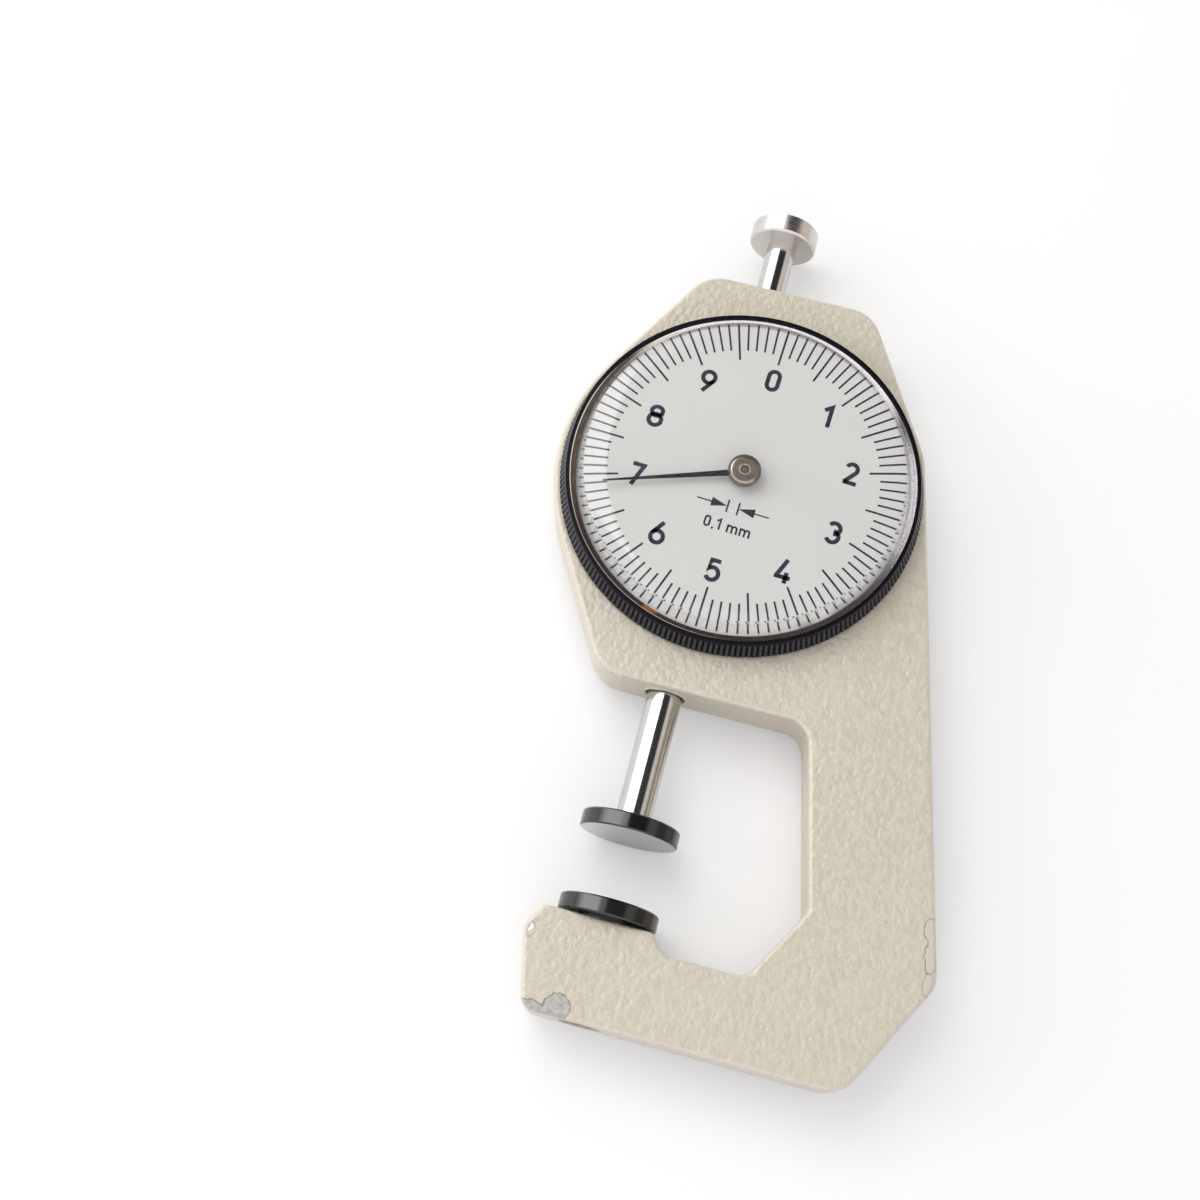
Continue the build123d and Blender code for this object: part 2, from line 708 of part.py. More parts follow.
def bezel():
    """Knurled ring with a bright inner lip that carries the dial and the crystal."""
    cone_z = front + knurl_start
    profile = [
        (bezel_bore, bezel_back), (bezel_radius - bezel_back_chamfer, bezel_back),
        (bezel_radius, bezel_back + bezel_back_chamfer), (bezel_radius, cone_z),
        (rim_outer_radius, rim_z), (rim_inner_radius, rim_z), (lip_radius, lip_z),
        (bezel_bore, lip_z),
    ]
    body = turned(profile)
    body -= ring(wire_ring_radius + groove_reach, bezel_bore - 1,
                 wire_z - groove_reach, wire_z + groove_reach)
    half = pi * bezel_radius / knurl_count * 2 / 3
    flute = make_face(Polyline((-knurl_depth, 0), (knurl_depth, half * 2),
                               (knurl_depth, -half * 2), close=True))
    lean = atan2(bezel_radius - rim_outer_radius, rim_z - cone_z)
    below = knurl_depth * 2 / sin(lean)
    run = (rim_z - knurl_collar - cone_z) / cos(lean)
    tool = extrude(Pos(0, 0, -below) * flute, below + run)
    tool = Pos(bezel_radius, 0, cone_z) * Rot(Y=-degrees(lean)) * tool
    flutes = [Rot(Z=index * 360 / knurl_count) * tool for index in range(knurl_count)]
    return dial_axis * (body - flutes)


def dial_plate():
    """Round dial that turns with the bezel."""
    dial = ring(dial_radius, dial_hole_radius, dial_back, dial_front)
    return dial_axis * Rot(Z=-zero_turn) * dial


def dial_ring():
    """Split spring ring that holds dial and crystal up against the bezel's lip."""
    body = ring(bezel_bore, bezel_bore - dial_ring_width, dial_back - dial_ring_thickness, dial_back)
    opening = gap_sector(dial_ring_gap_angle, bezel_radius, front, dial_front)
    return dial_axis * (body - opening)


def crystal():
    """Clear cup whose flat front falls away in a rounded shoulder towards its edge."""
    foot = lip_radius - loose_clearance
    bore = foot - crystal_wall
    inner_z = crystal_z - crystal_thickness
    shoulder_z = crystal_z - crystal_shoulder_drop
    edge = crystal_edge_chamfer
    flange_top = dial_front + crystal_flange
    rim = Polyline((crystal_front_radius - edge, 0, shoulder_z),
                   (crystal_front_radius, 0, shoulder_z - edge), (foot, 0, lip_z),
                   (dial_radius, 0, flange_top), (dial_radius, 0, dial_front),
                   (bore, 0, dial_front), (bore - crystal_bore_draft, 0, inner_z),
                   (0, 0, inner_z), (0, 0, crystal_z), (crystal_flat_radius, 0, crystal_z))
    shoulder = TangentArc((crystal_flat_radius, 0, crystal_z),
                          (crystal_front_radius - edge, 0, shoulder_z), tangent=(1, 0, 0))
    return dial_axis * revolve(make_face(rim + shoulder), Axis.Z)


nodes = {
    "frame": frame, "rear_cover": rear_cover, "rear_cover_screws": cover_screws,
    "movement_plate": movement_plate, "movement_plate_screws": plate_screws,
    "movement_pillars": movement_pillars, "rear_bridge": rear_bridge,
    "front_bearing": front_bearing, "rear_bearing": rear_bearing,
    "upper_guide_bush": upper_guide_bush, "lower_guide_bush": lower_guide_bush,
    "lower_anvil": lower_anvil, "lower_anvil_screw": anvil_screw,
    "bezel_retaining_wire": retaining_wire, "hairspring_stud": hairspring_stud,
    "spindle": spindle, "upper_anvil": upper_anvil, "lifting_knob": lifting_knob,
    "carrier": carrier, "guide_pin": guide_pin, "return_spring": return_spring,
    "pinion": pinion, "arbor": arbor, "hairspring_collet": hairspring_collet,
    "hairspring": hairspring, "needle": needle, "needle_hub": needle_hub,
    "bezel": bezel, "dial_plate": dial_plate, "dial_ring": dial_ring, "crystal": crystal,
}

os.makedirs("parts", exist_ok=True)
for name, make in nodes.items():
    export_step(make(), f"parts/{name}.step")
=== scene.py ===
"""Looks of a pocket dial thickness gauge for gemstones.

Row frame: X runs from the spindle towards the column, Y up along the spindle, Z out of
the dial. The origin is the centre of the fixed anvil's measuring face. Lengths are in
millimetres until a mesh, a lamp or the camera is made.
"""
import logging
from collections.abc import Iterable, Sequence
from dataclasses import dataclass
from enum import Enum
from functools import reduce
from math import atan2, cos, pi, radians, sin
from operator import mul
from typing import Union

import bpy
from mathutils import Matrix, Vector


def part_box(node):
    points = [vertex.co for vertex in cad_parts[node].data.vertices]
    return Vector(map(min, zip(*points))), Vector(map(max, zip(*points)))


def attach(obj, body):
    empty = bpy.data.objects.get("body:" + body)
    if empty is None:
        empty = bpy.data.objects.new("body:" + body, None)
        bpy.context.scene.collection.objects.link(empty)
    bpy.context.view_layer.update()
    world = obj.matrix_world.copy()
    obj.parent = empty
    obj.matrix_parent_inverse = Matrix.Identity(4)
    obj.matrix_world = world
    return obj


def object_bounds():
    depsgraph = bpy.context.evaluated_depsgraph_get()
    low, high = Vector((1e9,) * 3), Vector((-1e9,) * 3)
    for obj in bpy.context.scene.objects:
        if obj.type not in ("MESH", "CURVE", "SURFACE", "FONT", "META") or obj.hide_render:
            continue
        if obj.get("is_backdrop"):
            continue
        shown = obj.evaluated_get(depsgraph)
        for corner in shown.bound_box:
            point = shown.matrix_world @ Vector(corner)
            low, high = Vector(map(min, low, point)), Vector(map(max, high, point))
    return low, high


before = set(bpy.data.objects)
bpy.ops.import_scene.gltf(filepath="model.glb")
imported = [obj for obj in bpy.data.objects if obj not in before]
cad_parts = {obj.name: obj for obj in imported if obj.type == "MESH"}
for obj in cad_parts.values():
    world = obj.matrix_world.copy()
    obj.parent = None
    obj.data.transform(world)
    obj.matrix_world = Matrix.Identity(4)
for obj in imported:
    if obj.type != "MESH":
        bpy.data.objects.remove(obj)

log = logging.getLogger("gauge")
MM = 0.001
Point = tuple[float, float]
Triple = tuple[float, float, float]
Value = Union[float, int, Triple, "Wire"]
WHITE: Triple = (1.0, 1.0, 1.0)
NOISE_BAND: Point = (0.3, 0.7)
LEAST_MITRE = 0.45  # cosine of half the sharpest turn that a pen stroke's corner follows


def scaled(triple: Triple, factor: float) -> Triple:
    """A colour or a point with its three numbers multiplied."""
    x, y, z = triple
    return (x * factor, y * factor, z * factor)


# ---- shader language ----

class Wire:
    """A shader socket that Python operators combine into Math nodes."""

    def __init__(self, graph: "Graph", socket: bpy.types.NodeSocket) -> None:
        """Wrap one output socket of a graph."""
        self.graph = graph
        self.socket = socket

    def __add__(self, other: Value) -> "Wire":
        """Sum."""
        return self.graph.math("ADD", self, other)

    __radd__ = __add__

    def __sub__(self, other: Value) -> "Wire":
        """Difference."""
        return self.graph.math("SUBTRACT", self, other)

    def __rsub__(self, other: Value) -> "Wire":
        """Reflected difference."""
        return self.graph.math("SUBTRACT", other, self)

    def __mul__(self, other: Value) -> "Wire":
        """Product."""
        return self.graph.math("MULTIPLY", self, other)

    __rmul__ = __mul__

    def __abs__(self) -> "Wire":
        """Absolute value."""
        return self.graph.math("ABSOLUTE", self, 0.0)


class Graph:
    """Node tree of one material or world, written as expressions."""

    def __init__(self, tree: bpy.types.NodeTree) -> None:
        """Empty a tree and start from nothing."""
        self.tree = tree
        tree.nodes.clear()

    def make(self, kind: str, settings: dict | None = None,
             inputs: dict | None = None) -> bpy.types.Node:
        """Add any node.

        Args:
            kind: Blender's node type.
            settings: Properties of the node, set before its sockets.
            inputs: Values or wires by socket name or number.

        Returns:
            The new node.
        """
        node = self.tree.nodes.new(kind)
        for name, value in (settings or {}).items():
            setattr(node, name, value)
        for name, value in (inputs or {}).items():
            self._feed(node.inputs[name], value)
        return node

    def node(self, kind: str, settings: dict | None = None, inputs: dict | None = None,
             output: str | int = 0) -> Wire:
        """Make any node and take the output with this name or number."""
        return Wire(self, self.make(kind, settings, inputs).outputs[output])

    def _feed(self, socket: bpy.types.NodeSocket, value: Value) -> None:
        """Link a wire to a socket or write a plain value on it."""
        if isinstance(value, Wire):
            self.tree.links.new(value.socket, socket)
        elif isinstance(value, tuple) and socket.type == "RGBA":
            socket.default_value = (*value, 1.0)
        else:
            socket.default_value = value

    def math(self, operation: str, first: Value, second: Value) -> Wire:
        """Add one Math node for two numbers."""
        return self.node("ShaderNodeMath", {"operation": operation}, {0: first, 1: second})

    def place(self) -> Wire:
        """Object coordinates in millimetres."""
        return self.scale(self.node("ShaderNodeTexCoord", output="Object"), 1.0 / MM)

    def facing(self) -> tuple[Wire, Wire, Wire]:
        """Object-space normal as three numbers."""
        return self.axes(self.node("ShaderNodeTexCoord", output="Normal"))

    def vector(self, operation: str, first: Value, second: Value) -> Wire:
        """Add one Vector Math node for two vectors."""
        return self.node("ShaderNodeVectorMath", {"operation": operation}, {0: first, 1: second})

    def scale(self, vector: Wire, factor: float) -> Wire:
        """Vector times a number."""
        inputs = {0: vector, "Scale": factor}
        return self.node("ShaderNodeVectorMath", {"operation": "SCALE"}, inputs)

    def length(self, vector: Wire) -> Wire:
        """Length of a vector."""
        return self.node("ShaderNodeVectorMath", {"operation": "LENGTH"}, {0: vector}, "Value")

    def axes(self, vector: Wire) -> tuple[Wire, Wire, Wire]:
        """Split a vector into its three numbers."""
        node = self.make("ShaderNodeSeparateXYZ", None, {0: vector})
        x, y, z = (Wire(self, socket) for socket in node.outputs)
        return x, y, z

    def radius(self, place: Wire, centre: Point) -> Wire:
        """Distance from an axis along Z."""
        away = self.vector("SUBTRACT", place, (*centre, 0.0))
        return self.length(self.vector("MULTIPLY", away, (1.0, 1.0, 0.0)))

    def join(self, x: Value, y: Value, z: Value) -> Wire:
        """Make a vector of three numbers."""
        return self.node("ShaderNodeCombineXYZ", None, {0: x, 1: y, 2: z})

    def ramp(self, value: Wire, low: float, high: float, start: float = 0.0,
             end: float = 1.0) -> Wire:
        """Smooth step of a value: start up to low, end from high on."""
        inputs = {"Value": value, "From Min": low, "From Max": high, "To Min": start, "To Max": end}
        return self.node("ShaderNodeMapRange", {"interpolation_type": "SMOOTHSTEP"}, inputs)

    def within(self, *steps: tuple[Wire, Point]) -> Wire:
        """Product of smooth steps of values, each with its start and end."""
        return reduce(mul, (self.ramp(value, *edge) for value, edge in steps))

    def gloss(self, noise: Wire, smooth: float, coarse: float) -> Wire:
        """Roughness that a noise moves between two values."""
        return self.ramp(noise, *NOISE_BAND, smooth, coarse)

    def noise(self, place: Wire, per_mm: float, detail: float = 2.0, rough: float = 0.5) -> Wire:
        """Noise with a number of lumps per millimetre."""
        inputs = {"Vector": place, "Scale": per_mm, "Detail": detail, "Roughness": rough}
        return self.node("ShaderNodeTexNoise", None, inputs, "Fac")

    def cells(self, place: Wire, per_mm: float, smooth: float = 0.6) -> Wire:
        """Distance to the nearest cell centre, smoothed."""
        inputs = {"Vector": place, "Scale": per_mm, "Smoothness": smooth}
        return self.node("ShaderNodeTexVoronoi", {"feature": "SMOOTH_F1"}, inputs, "Distance")

    def blend(self, factor: Value, first: Value, second: Value) -> Wire:
        """Mix two colours, by the numbers that a Mix node gives its colour sockets."""
        inputs = {0: factor, 6: first, 7: second}
        return self.node("ShaderNodeMix", {"data_type": "RGBA"}, inputs, 2)

    def least(self, first: Value, second: Value) -> Wire:
        """Smaller of two numbers."""
        return self.math("MINIMUM", first, second)

    def most(self, first: Value, second: Value) -> Wire:
        """Larger of two numbers."""
        return self.math("MAXIMUM", first, second)

    def bump(self, height: Wire, depth_mm: float = 1.0) -> Wire:
        """Normal bent by a height field, whose 1 stands for a real depth."""
        inputs = {"Height": height, "Distance": depth_mm * MM, "Strength": 1.0}
        return self.node("ShaderNodeBump", None, inputs)

    def ray(self, question: str) -> Wire:
        """What Blender knows of the ray that is traced, by the output's name."""
        return self.node("ShaderNodeLightPath", output=question)

    def mix(self, share: Value, first: Wire, second: Wire) -> Wire:
        """Mix two shaders."""
        return self.node("ShaderNodeMixShader", None, {0: share, 1: first, 2: second})

    def surface(self, **inputs: Value) -> Wire:
        """Principled shader with sockets named in lower case with underscores."""
        named = {name.replace("_", " ").title().replace("Ior", "IOR"): value
                 for name, value in inputs.items()}
        return self.node("ShaderNodeBsdfPrincipled", None, named)

    def end(self, shader: Wire, world: bool = False) -> None:
        """Link a shader to the output."""
        kind = "ShaderNodeOutputWorld" if world else "ShaderNodeOutputMaterial"
        self.make(kind, None, {"Surface": shader})


# ---- finishes ----

@dataclass(frozen=True)
class Finish:
    """A surface finish that any piece can wear."""

    name: str

    def paint(self, graph: Graph) -> Wire:
        """Build the finish's shader."""
        raise NotImplementedError

    def material(self) -> bpy.types.Material:
        """The Blender material, made once."""
        made = bpy.data.materials.get(self.name)
        if made is None:
            made = bpy.data.materials.new(self.name)
            made.use_nodes = True
            graph = Graph(made.node_tree)
            graph.end(self.paint(graph))
        return made

    def wear(self, piece: bpy.types.Object) -> None:
        """Put the finish on every slot of a piece."""
        material = self.material()
        if not piece.material_slots:
            piece.data.materials.append(material)
        for slot in piece.material_slots:
            slot.material = material


@dataclass(frozen=True)
class Chip:
    """An ellipsoid on the lacquer: a knocked-off flake, a peeled patch, and also a spot of painted
    highlight.
    """

    centre: Triple
    radius: Triple


@dataclass(frozen=True)
class HammerLacquer(Finish):
    """Stone-coloured lacquer with an orange-peel skin, chipped at the corners, with a painted
    highlight on its rounded edges, a painted highlight on one dent and painted shade along the
    flakes' outlines.
    """

    colour: Triple = (0.572, 0.520, 0.418)
    pale: Triple = (0.610, 0.557, 0.455)
    # Painted highlight colour for the rounded edges.
    painted_rim_shading: Triple = (0.70, 0.655, 0.56)
    primer: Triple = (0.51, 0.50, 0.465)
    scar: Triple = (0.60, 0.56, 0.47)
    # Painted highlight colour for a small dent.
    painted_highlight_colour: Triple = (0.93, 0.92, 0.90)
    chips: tuple[Chip, ...] = ()
    scars: tuple[Chip, ...] = ()
    painted_highlight_spots: tuple[Chip, ...] = ()
    stretch: Triple = (1.1, 0.95, 1.1)
    lumps_per_mm: float = 1.55
    cells_per_mm: float = 2.1
    pores_per_mm: float = 6.5
    clouds_per_mm: float = 0.12
    skin_depth: float = 0.11
    film: float = 0.12
    flat: Point = (0.98, 0.9)
    wall: Point = (0.25, 0.7)
    edge_highlight_share: float = 0.5
    smooth: float = 0.3
    coarse: float = 0.42
    ragged_per_mm: float = 1.5
    ragged_reach: float = 0.8
    flake_edge: Point = (1.0, 0.93)
    brink: float = 0.99
    brink_edge: Point = (0.1, 0.02)
    brink_gaps: Point = (0.42, 0.58)
    # Strength of the painted shade along the flakes' outlines.
    outline_shade_share: float = 0.3

    def flake(self, graph: Graph, place: Wire, cuts: Sequence[Chip]) -> Wire:
        """Signed reach of a group of ellipsoids (flakes, peeled patches, painted highlight spots),
        below 1 inside them.
        """
        reaches = []
        for cut in cuts:
            away = graph.vector("SUBTRACT", place, cut.centre)
            reaches.append(graph.length(graph.vector("DIVIDE", away, cut.radius)))
        return reduce(graph.least, reaches)

    def ragged(self, graph: Graph, place: Wire) -> Wire:
        """Object coordinates pushed about, for broken outlines."""
        inputs = {"Vector": place, "Scale": self.ragged_per_mm, "Detail": 4.0}
        push = graph.node("ShaderNodeTexNoise", None, inputs, "Color")
        away = graph.vector("SUBTRACT", push, (0.5, 0.5, 0.5))
        return graph.vector("ADD", place, graph.scale(away, self.ragged_reach))

    def paint(self, graph: Graph) -> Wire:
        """Lacquer over metal with the flakes cut through it, with painted highlights and painted
        shade.
        """
        place = graph.place()
        grain = graph.vector("MULTIPLY", place, self.stretch)
        lumps = graph.noise(grain, self.lumps_per_mm, 1.2, 0.4)
        cells = graph.cells(grain, self.cells_per_mm)
        skin = lumps * 1.25 + cells * 0.3 + graph.noise(place, self.pores_per_mm) * 0.1
        cloud = graph.noise(place, self.clouds_per_mm)
        tone = graph.ramp(lumps * 0.7 + cloud * 0.3, 0.35, 0.62)
        colour = graph.blend(tone, self.colour, self.pale)
        # Painted highlight: where the face turns away from the front, along rounded edges, a
        # lighter colour is painted in.
        turn = abs(graph.facing()[2])
        edge = graph.within((turn, self.wall), (turn, self.flat))
        colour = graph.blend(edge * self.edge_highlight_share, colour, self.painted_rim_shading)
        gloss = graph.gloss(lumps, self.smooth, self.coarse)
        if not self.chips:
            return graph.surface(base_color=colour, roughness=gloss,
                                 normal=graph.bump(skin, self.skin_depth))
        moved = self.ragged(graph, place)
        chip = self.flake(graph, moved, self.chips)
        scar = self.flake(graph, moved, self.scars)
        bare = graph.ramp(chip, *self.flake_edge)
        peeled = graph.ramp(scar, *self.flake_edge)
        lost = graph.most(bare, peeled)
        # Painted shade: a broken dark line along the flakes' outlines, where the lacquer steps
        # down.
        beside = graph.least(abs(chip - self.brink), abs(scar - self.brink))
        brink = graph.within((beside, self.brink_edge), (graph.noise(place, 0.8), self.brink_gaps))
        streak = graph.ramp(graph.noise(grain, 2.2, 4.0, 0.6), 0.35, 0.65)
        worn = graph.blend(streak, self.primer, scaled(self.primer, 0.72))
        colour = graph.blend(peeled, graph.blend(bare, colour, worn), self.scar)
        # Painted highlight: a near-white spot painted inside the highlight ellipsoids.
        painted_highlight_mask = graph.ramp(self.flake(graph, moved, self.painted_highlight_spots), 1.0, 0.8)
        colour = graph.blend(painted_highlight_mask, colour, self.painted_highlight_colour)
        colour = graph.blend(brink * self.outline_shade_share, colour, scaled(self.primer, 0.35))
        level = skin * (1.0 - lost * 0.8) * self.skin_depth - lost * self.film
        return graph.surface(base_color=colour, roughness=gloss, normal=graph.bump(level))


@dataclass(frozen=True)
class TurnedMetal(Finish):
    """Bare metal with the fine lines that turning or grinding leaves."""

    class Lay(Enum):
        """Which way the tool marks run."""

        ROUND_Y = 0
        ROUND_DIAL = 1
        NONE = 2

    colour: Triple = (0.62, 0.61, 0.60)
    smooth: float = 0.12
    coarse: float = 0.24
    lay: Lay = Lay.ROUND_Y
    lines_per_mm: float = 9.0
    waves_per_mm: float = 0.05
    clouds_per_mm: float = 0.6
    depth: float = 0.002
    centre: Point = (0.0, 0.0)
    stain: float = 0.12

    def marks(self, graph: Graph, place: Wire) -> Wire:
        """Height of the tool marks."""
        x, y, z = graph.axes(place)
        if self.lay is TurnedMetal.Lay.ROUND_Y:
            across = graph.join(x * self.waves_per_mm, y * self.lines_per_mm, z * self.waves_per_mm)
        elif self.lay is TurnedMetal.Lay.ROUND_DIAL:
            radius = graph.radius(place, self.centre)
            across = graph.join(radius * self.lines_per_mm, z * self.lines_per_mm, 0.0)
        else:
            across = graph.join(x, y, z)
        return graph.noise(across, 1.0, 4.0, 0.6)

    def paint(self, graph: Graph) -> Wire:
        """Metal with marks in its gloss, height and tone."""
        place = graph.place()
        marks = self.marks(graph, place)
        cloud = graph.noise(place, self.clouds_per_mm, 3.0)
        tone = graph.ramp(marks * 0.6 + cloud * 0.4, *NOISE_BAND)
        return graph.surface(
            base_color=graph.blend(tone, self.colour, scaled(self.colour, 1.0 - self.stain)),
            metallic=1.0,
            roughness=graph.gloss(marks, self.smooth, self.coarse),
            normal=graph.bump(marks, self.depth),
        )


@dataclass(frozen=True)
class TurnedHub(Finish):
    """Turned cap with fine rings on its face, a rounded brink and a pit in the middle, with painted
    shade on its side wall and in the pit and painted highlights on the pit's left side and lip.
    """

    centre: Point = (0.0, 0.0)
    face: Triple = (0.52, 0.46, 0.405)
    ring: Triple = (0.30, 0.255, 0.215)
    # Painted shade colour for the side wall and the pit.
    side: Triple = (0.16, 0.135, 0.115)
    # Painted highlight colour for the pit's left side.
    bright: Triple = (0.92, 0.89, 0.84)
    # Painted highlight colour for the pit's lip.
    painted_lip_highlight: Triple = (0.80, 0.66, 0.46)
    dimple: float = 0.5
    pit_bend: float = 0.2
    brink: float = 1.3
    brink_width: float = 0.45
    brink_drop: float = 0.32
    rings_per_mm: float = 16.0
    ring_depth: float = 0.003
    smooth: float = 0.18
    coarse: float = 0.3

    def paint(self, graph: Graph) -> Wire:
        """Rings by radius, a rounded brink, a pit in the middle, painted shade and painted
        highlights.
        """
        place = graph.place()
        radius = graph.radius(place, self.centre)
        rings = graph.noise(graph.join(radius * self.rings_per_mm, 0.0, 0.0), 1.0, 3.0, 0.6)
        # Painted shade: side walls are painted dark.
        side = graph.ramp(abs(graph.facing()[2]), 0.8, 0.5)
        leftward = self.centre[0] - graph.axes(place)[0]
        pit = graph.ramp(radius, self.dimple + 0.02, self.dimple - 0.08)
        lip = graph.ramp(abs(radius - self.dimple - 0.06), 0.12, 0.04)
        colour = graph.blend(graph.ramp(rings, 0.35, 0.65), self.face, self.ring)
        # Painted highlight: a bright ring round the pit's lip.
        colour = graph.blend(lip * 0.8, colour, self.painted_lip_highlight)
        # Pit: painted highlight on its left side, painted shade elsewhere.
        pit_shade_and_highlight = graph.blend(graph.ramp(leftward, 0.0, 0.1), self.side, self.bright)
        colour = graph.blend(side, graph.blend(pit, colour, pit_shade_and_highlight), self.side)
        brink = graph.ramp(radius, self.brink, self.brink + self.brink_width)
        shape = rings * self.ring_depth - brink * self.brink_drop + pit * self.pit_bend
        return graph.surface(base_color=colour, metallic=1.0, normal=graph.bump(shape),
                             roughness=graph.gloss(rings, self.smooth, self.coarse))


@dataclass(frozen=True)
class BlackAnvil(Finish):
    """Blackened steel with a bright lapped measuring face."""

    black: Triple = (0.004, 0.004, 0.006)
    bright: Triple = (0.52, 0.52, 0.53)
    lowest: Point = (-0.25, -0.15)
    highest: Point = (7.15, 7.05)
    level: Point = (0.9, 0.97)
    lines_per_mm: float = 12.0
    waves_per_mm: float = 0.05
    smooth: float = 0.14
    coarse: float = 0.18
    lapping: float = 0.04
    specular: float = 0.75
    depth: float = 0.0015

    def paint(self, graph: Graph) -> Wire:
        """Black sides, bright faces that look along Y between the two anvils."""
        place = graph.place()
        height = graph.axes(place)[1]
        level = abs(graph.facing()[1])
        between = graph.within((height, self.lowest), (height, self.highest))
        lapped = graph.ramp(level, *self.level) * between
        waves = graph.axes(place)[0] * self.waves_per_mm
        lines = graph.noise(graph.join(waves, height * self.lines_per_mm, 0.0), 1.0, 3.0)
        swirl = graph.noise(place, 2.5, 4.0, 0.65)
        tint = graph.blend(swirl, self.black, scaled(self.black, 1.7))
        return graph.surface(
            base_color=graph.blend(lapped, tint, self.bright),
            metallic=lapped,
            roughness=graph.gloss(lines, self.smooth, self.coarse) - lapped * self.lapping,
            specular_ior_level=self.specular,
            normal=graph.bump(swirl, self.depth),
        )


@dataclass(frozen=True)
class BlackBezel(Finish):
    """Black lacquered ring whose ridges are painted lighter, partly as rubbed wear and partly as a
    painted highlight; its inner bevel is cut bright and carries painted reflections and a painted
    highlight line.
    """

    centre: Point = (0.0, 0.0)
    bevel_outer: float = 18.03
    black_top: float = 0.16
    soft: float = 0.05
    rim_height: float = 5.4
    crest: float = 19.05
    lean: float = 0.302
    cone_height: float = 3.75
    ridge_height: float = 5.6
    flute: float = 0.14
    rings_per_mm: float = 6.0
    # Where the painted reflections begin, low down on the bevel.
    painted_reflection_edge: Point = (7.0, 2.0)
    grey_reflection_side: Point = (4.0, 12.0)
    smooth: float = 0.24
    coarse: float = 0.36
    bevel_gloss: float = 0.1
    specular: float = 0.11
    depth: float = 0.004
    black: Triple = (0.004, 0.004, 0.007)
    # Lighter crest colour: rubbed wear and painted highlight.
    crest_wear_and_highlight: Triple = (0.062, 0.060, 0.068)
    bright: Triple = (0.98, 0.93, 0.94)
    # Painted reflections on the low part of the bevel: brown at left, grey at right.
    painted_brown_reflection: Triple = (0.13, 0.107, 0.095)
    painted_grey_reflection: Triple = (0.15, 0.145, 0.15)
    # Orange of the painted reflection glints.
    glow: Triple = (0.80, 0.36, 0.12)

    def side(self, graph: Graph, radius: Wire, height: Wire, speckle: Wire) -> Wire:
        """Black with the crests between the flutes painted grey, partly rubbed wear and partly a
        painted highlight.

        Args:
            graph: The graph to add to.
            radius: Distance from the dial's axis.
            height: Height along the axis.
            speckle: Noise that breaks the wear.

        Returns:
            The colour of the outside.
        """
        cone = self.crest - graph.most(height - self.cone_height, 0.0) * self.lean
        crest = graph.ramp(cone - radius, self.flute * 0.75, 0.0)
        fluted = graph.ramp(height, self.ridge_height, self.ridge_height - self.soft)
        # Crests painted lighter than the grooves: partly rubbed wear, partly a painted highlight.
        wear = crest * fluted * graph.ramp(speckle, 0.3, 0.65, 0.5, 1.0)
        return graph.blend(wear, self.black, self.crest_wear_and_highlight)

    def lining(self, graph: Graph, place: Wire, radius: Wire, sideways: Wire, upward: Wire) -> Wire:
        """Bright bevel with turned rings; low down it is painted with reflections, brown at left
        and grey at right, with orange glints.

        Args:
            graph: The graph to add to.
            place: Object coordinates.
            radius: Distance from the dial's axis.
            sideways: Distance to the right of the axis.
            upward: Distance above the axis.

        Returns:
            The colour of the bevel.
        """
        patches = graph.noise(place, 0.3, 3.0)
        rings = graph.noise(graph.join(radius * self.rings_per_mm, 0.0, 0.0), 1.0, 3.0)
        # Painted reflection: where it shows, low down on the bevel.
        painted_reflection_mask = graph.ramp(upward - abs(sideways) * 0.5, *self.painted_reflection_edge)
        # Colour of the painted reflection: brown at left, grey at right.
        stain = graph.blend(graph.ramp(sideways, *self.grey_reflection_side), self.painted_brown_reflection, self.painted_grey_reflection)
        metal = graph.blend(painted_reflection_mask, self.bright, stain)
        # Painted reflection: orange glints in patches.
        metal = graph.blend(graph.ramp(patches, 0.63, 0.7) * painted_reflection_mask, metal, self.glow)
        # Turned rings darken the bevel, more strongly within the painted reflection.
        lines = graph.ramp(rings, 0.4, 0.62) * (0.06 + painted_reflection_mask * 0.4)
        metal = graph.blend(lines, metal, scaled(self.painted_brown_reflection, 0.7))
        # Painted highlight: a bright line along the bevel's outer edge, on the left.
        beside = abs(radius - self.bevel_outer + 0.08)
        line = graph.within((beside, (0.06, 0.03)), (sideways, (4.0, -4.0)))
        return graph.blend(line, metal, self.bright)

    def paint(self, graph: Graph) -> Wire:
        """Black outside, metal on the bevel."""
        place = graph.place()
        x, y, z = graph.axes(place)
        sideways = x - self.centre[0]
        upward = y - self.centre[1]
        radius = graph.radius(place, self.centre)
        reach = radius + graph.ramp(upward, 2.0, 14.0) * self.black_top
        bevel = graph.within((reach, (self.bevel_outer, self.bevel_outer - self.soft)),
                             (z, (self.rim_height, self.rim_height + self.soft)))
        speckle = graph.noise(place, 4.0, 3.0)
        return graph.surface(
            base_color=graph.blend(bevel, self.side(graph, radius, z, speckle),
                                   self.lining(graph, place, radius, sideways, upward)),
            metallic=bevel,
            roughness=graph.gloss(speckle, self.smooth, self.coarse) - bevel * self.bevel_gloss,
            specular_ior_level=self.specular,
            normal=graph.bump(speckle, self.depth),
        )


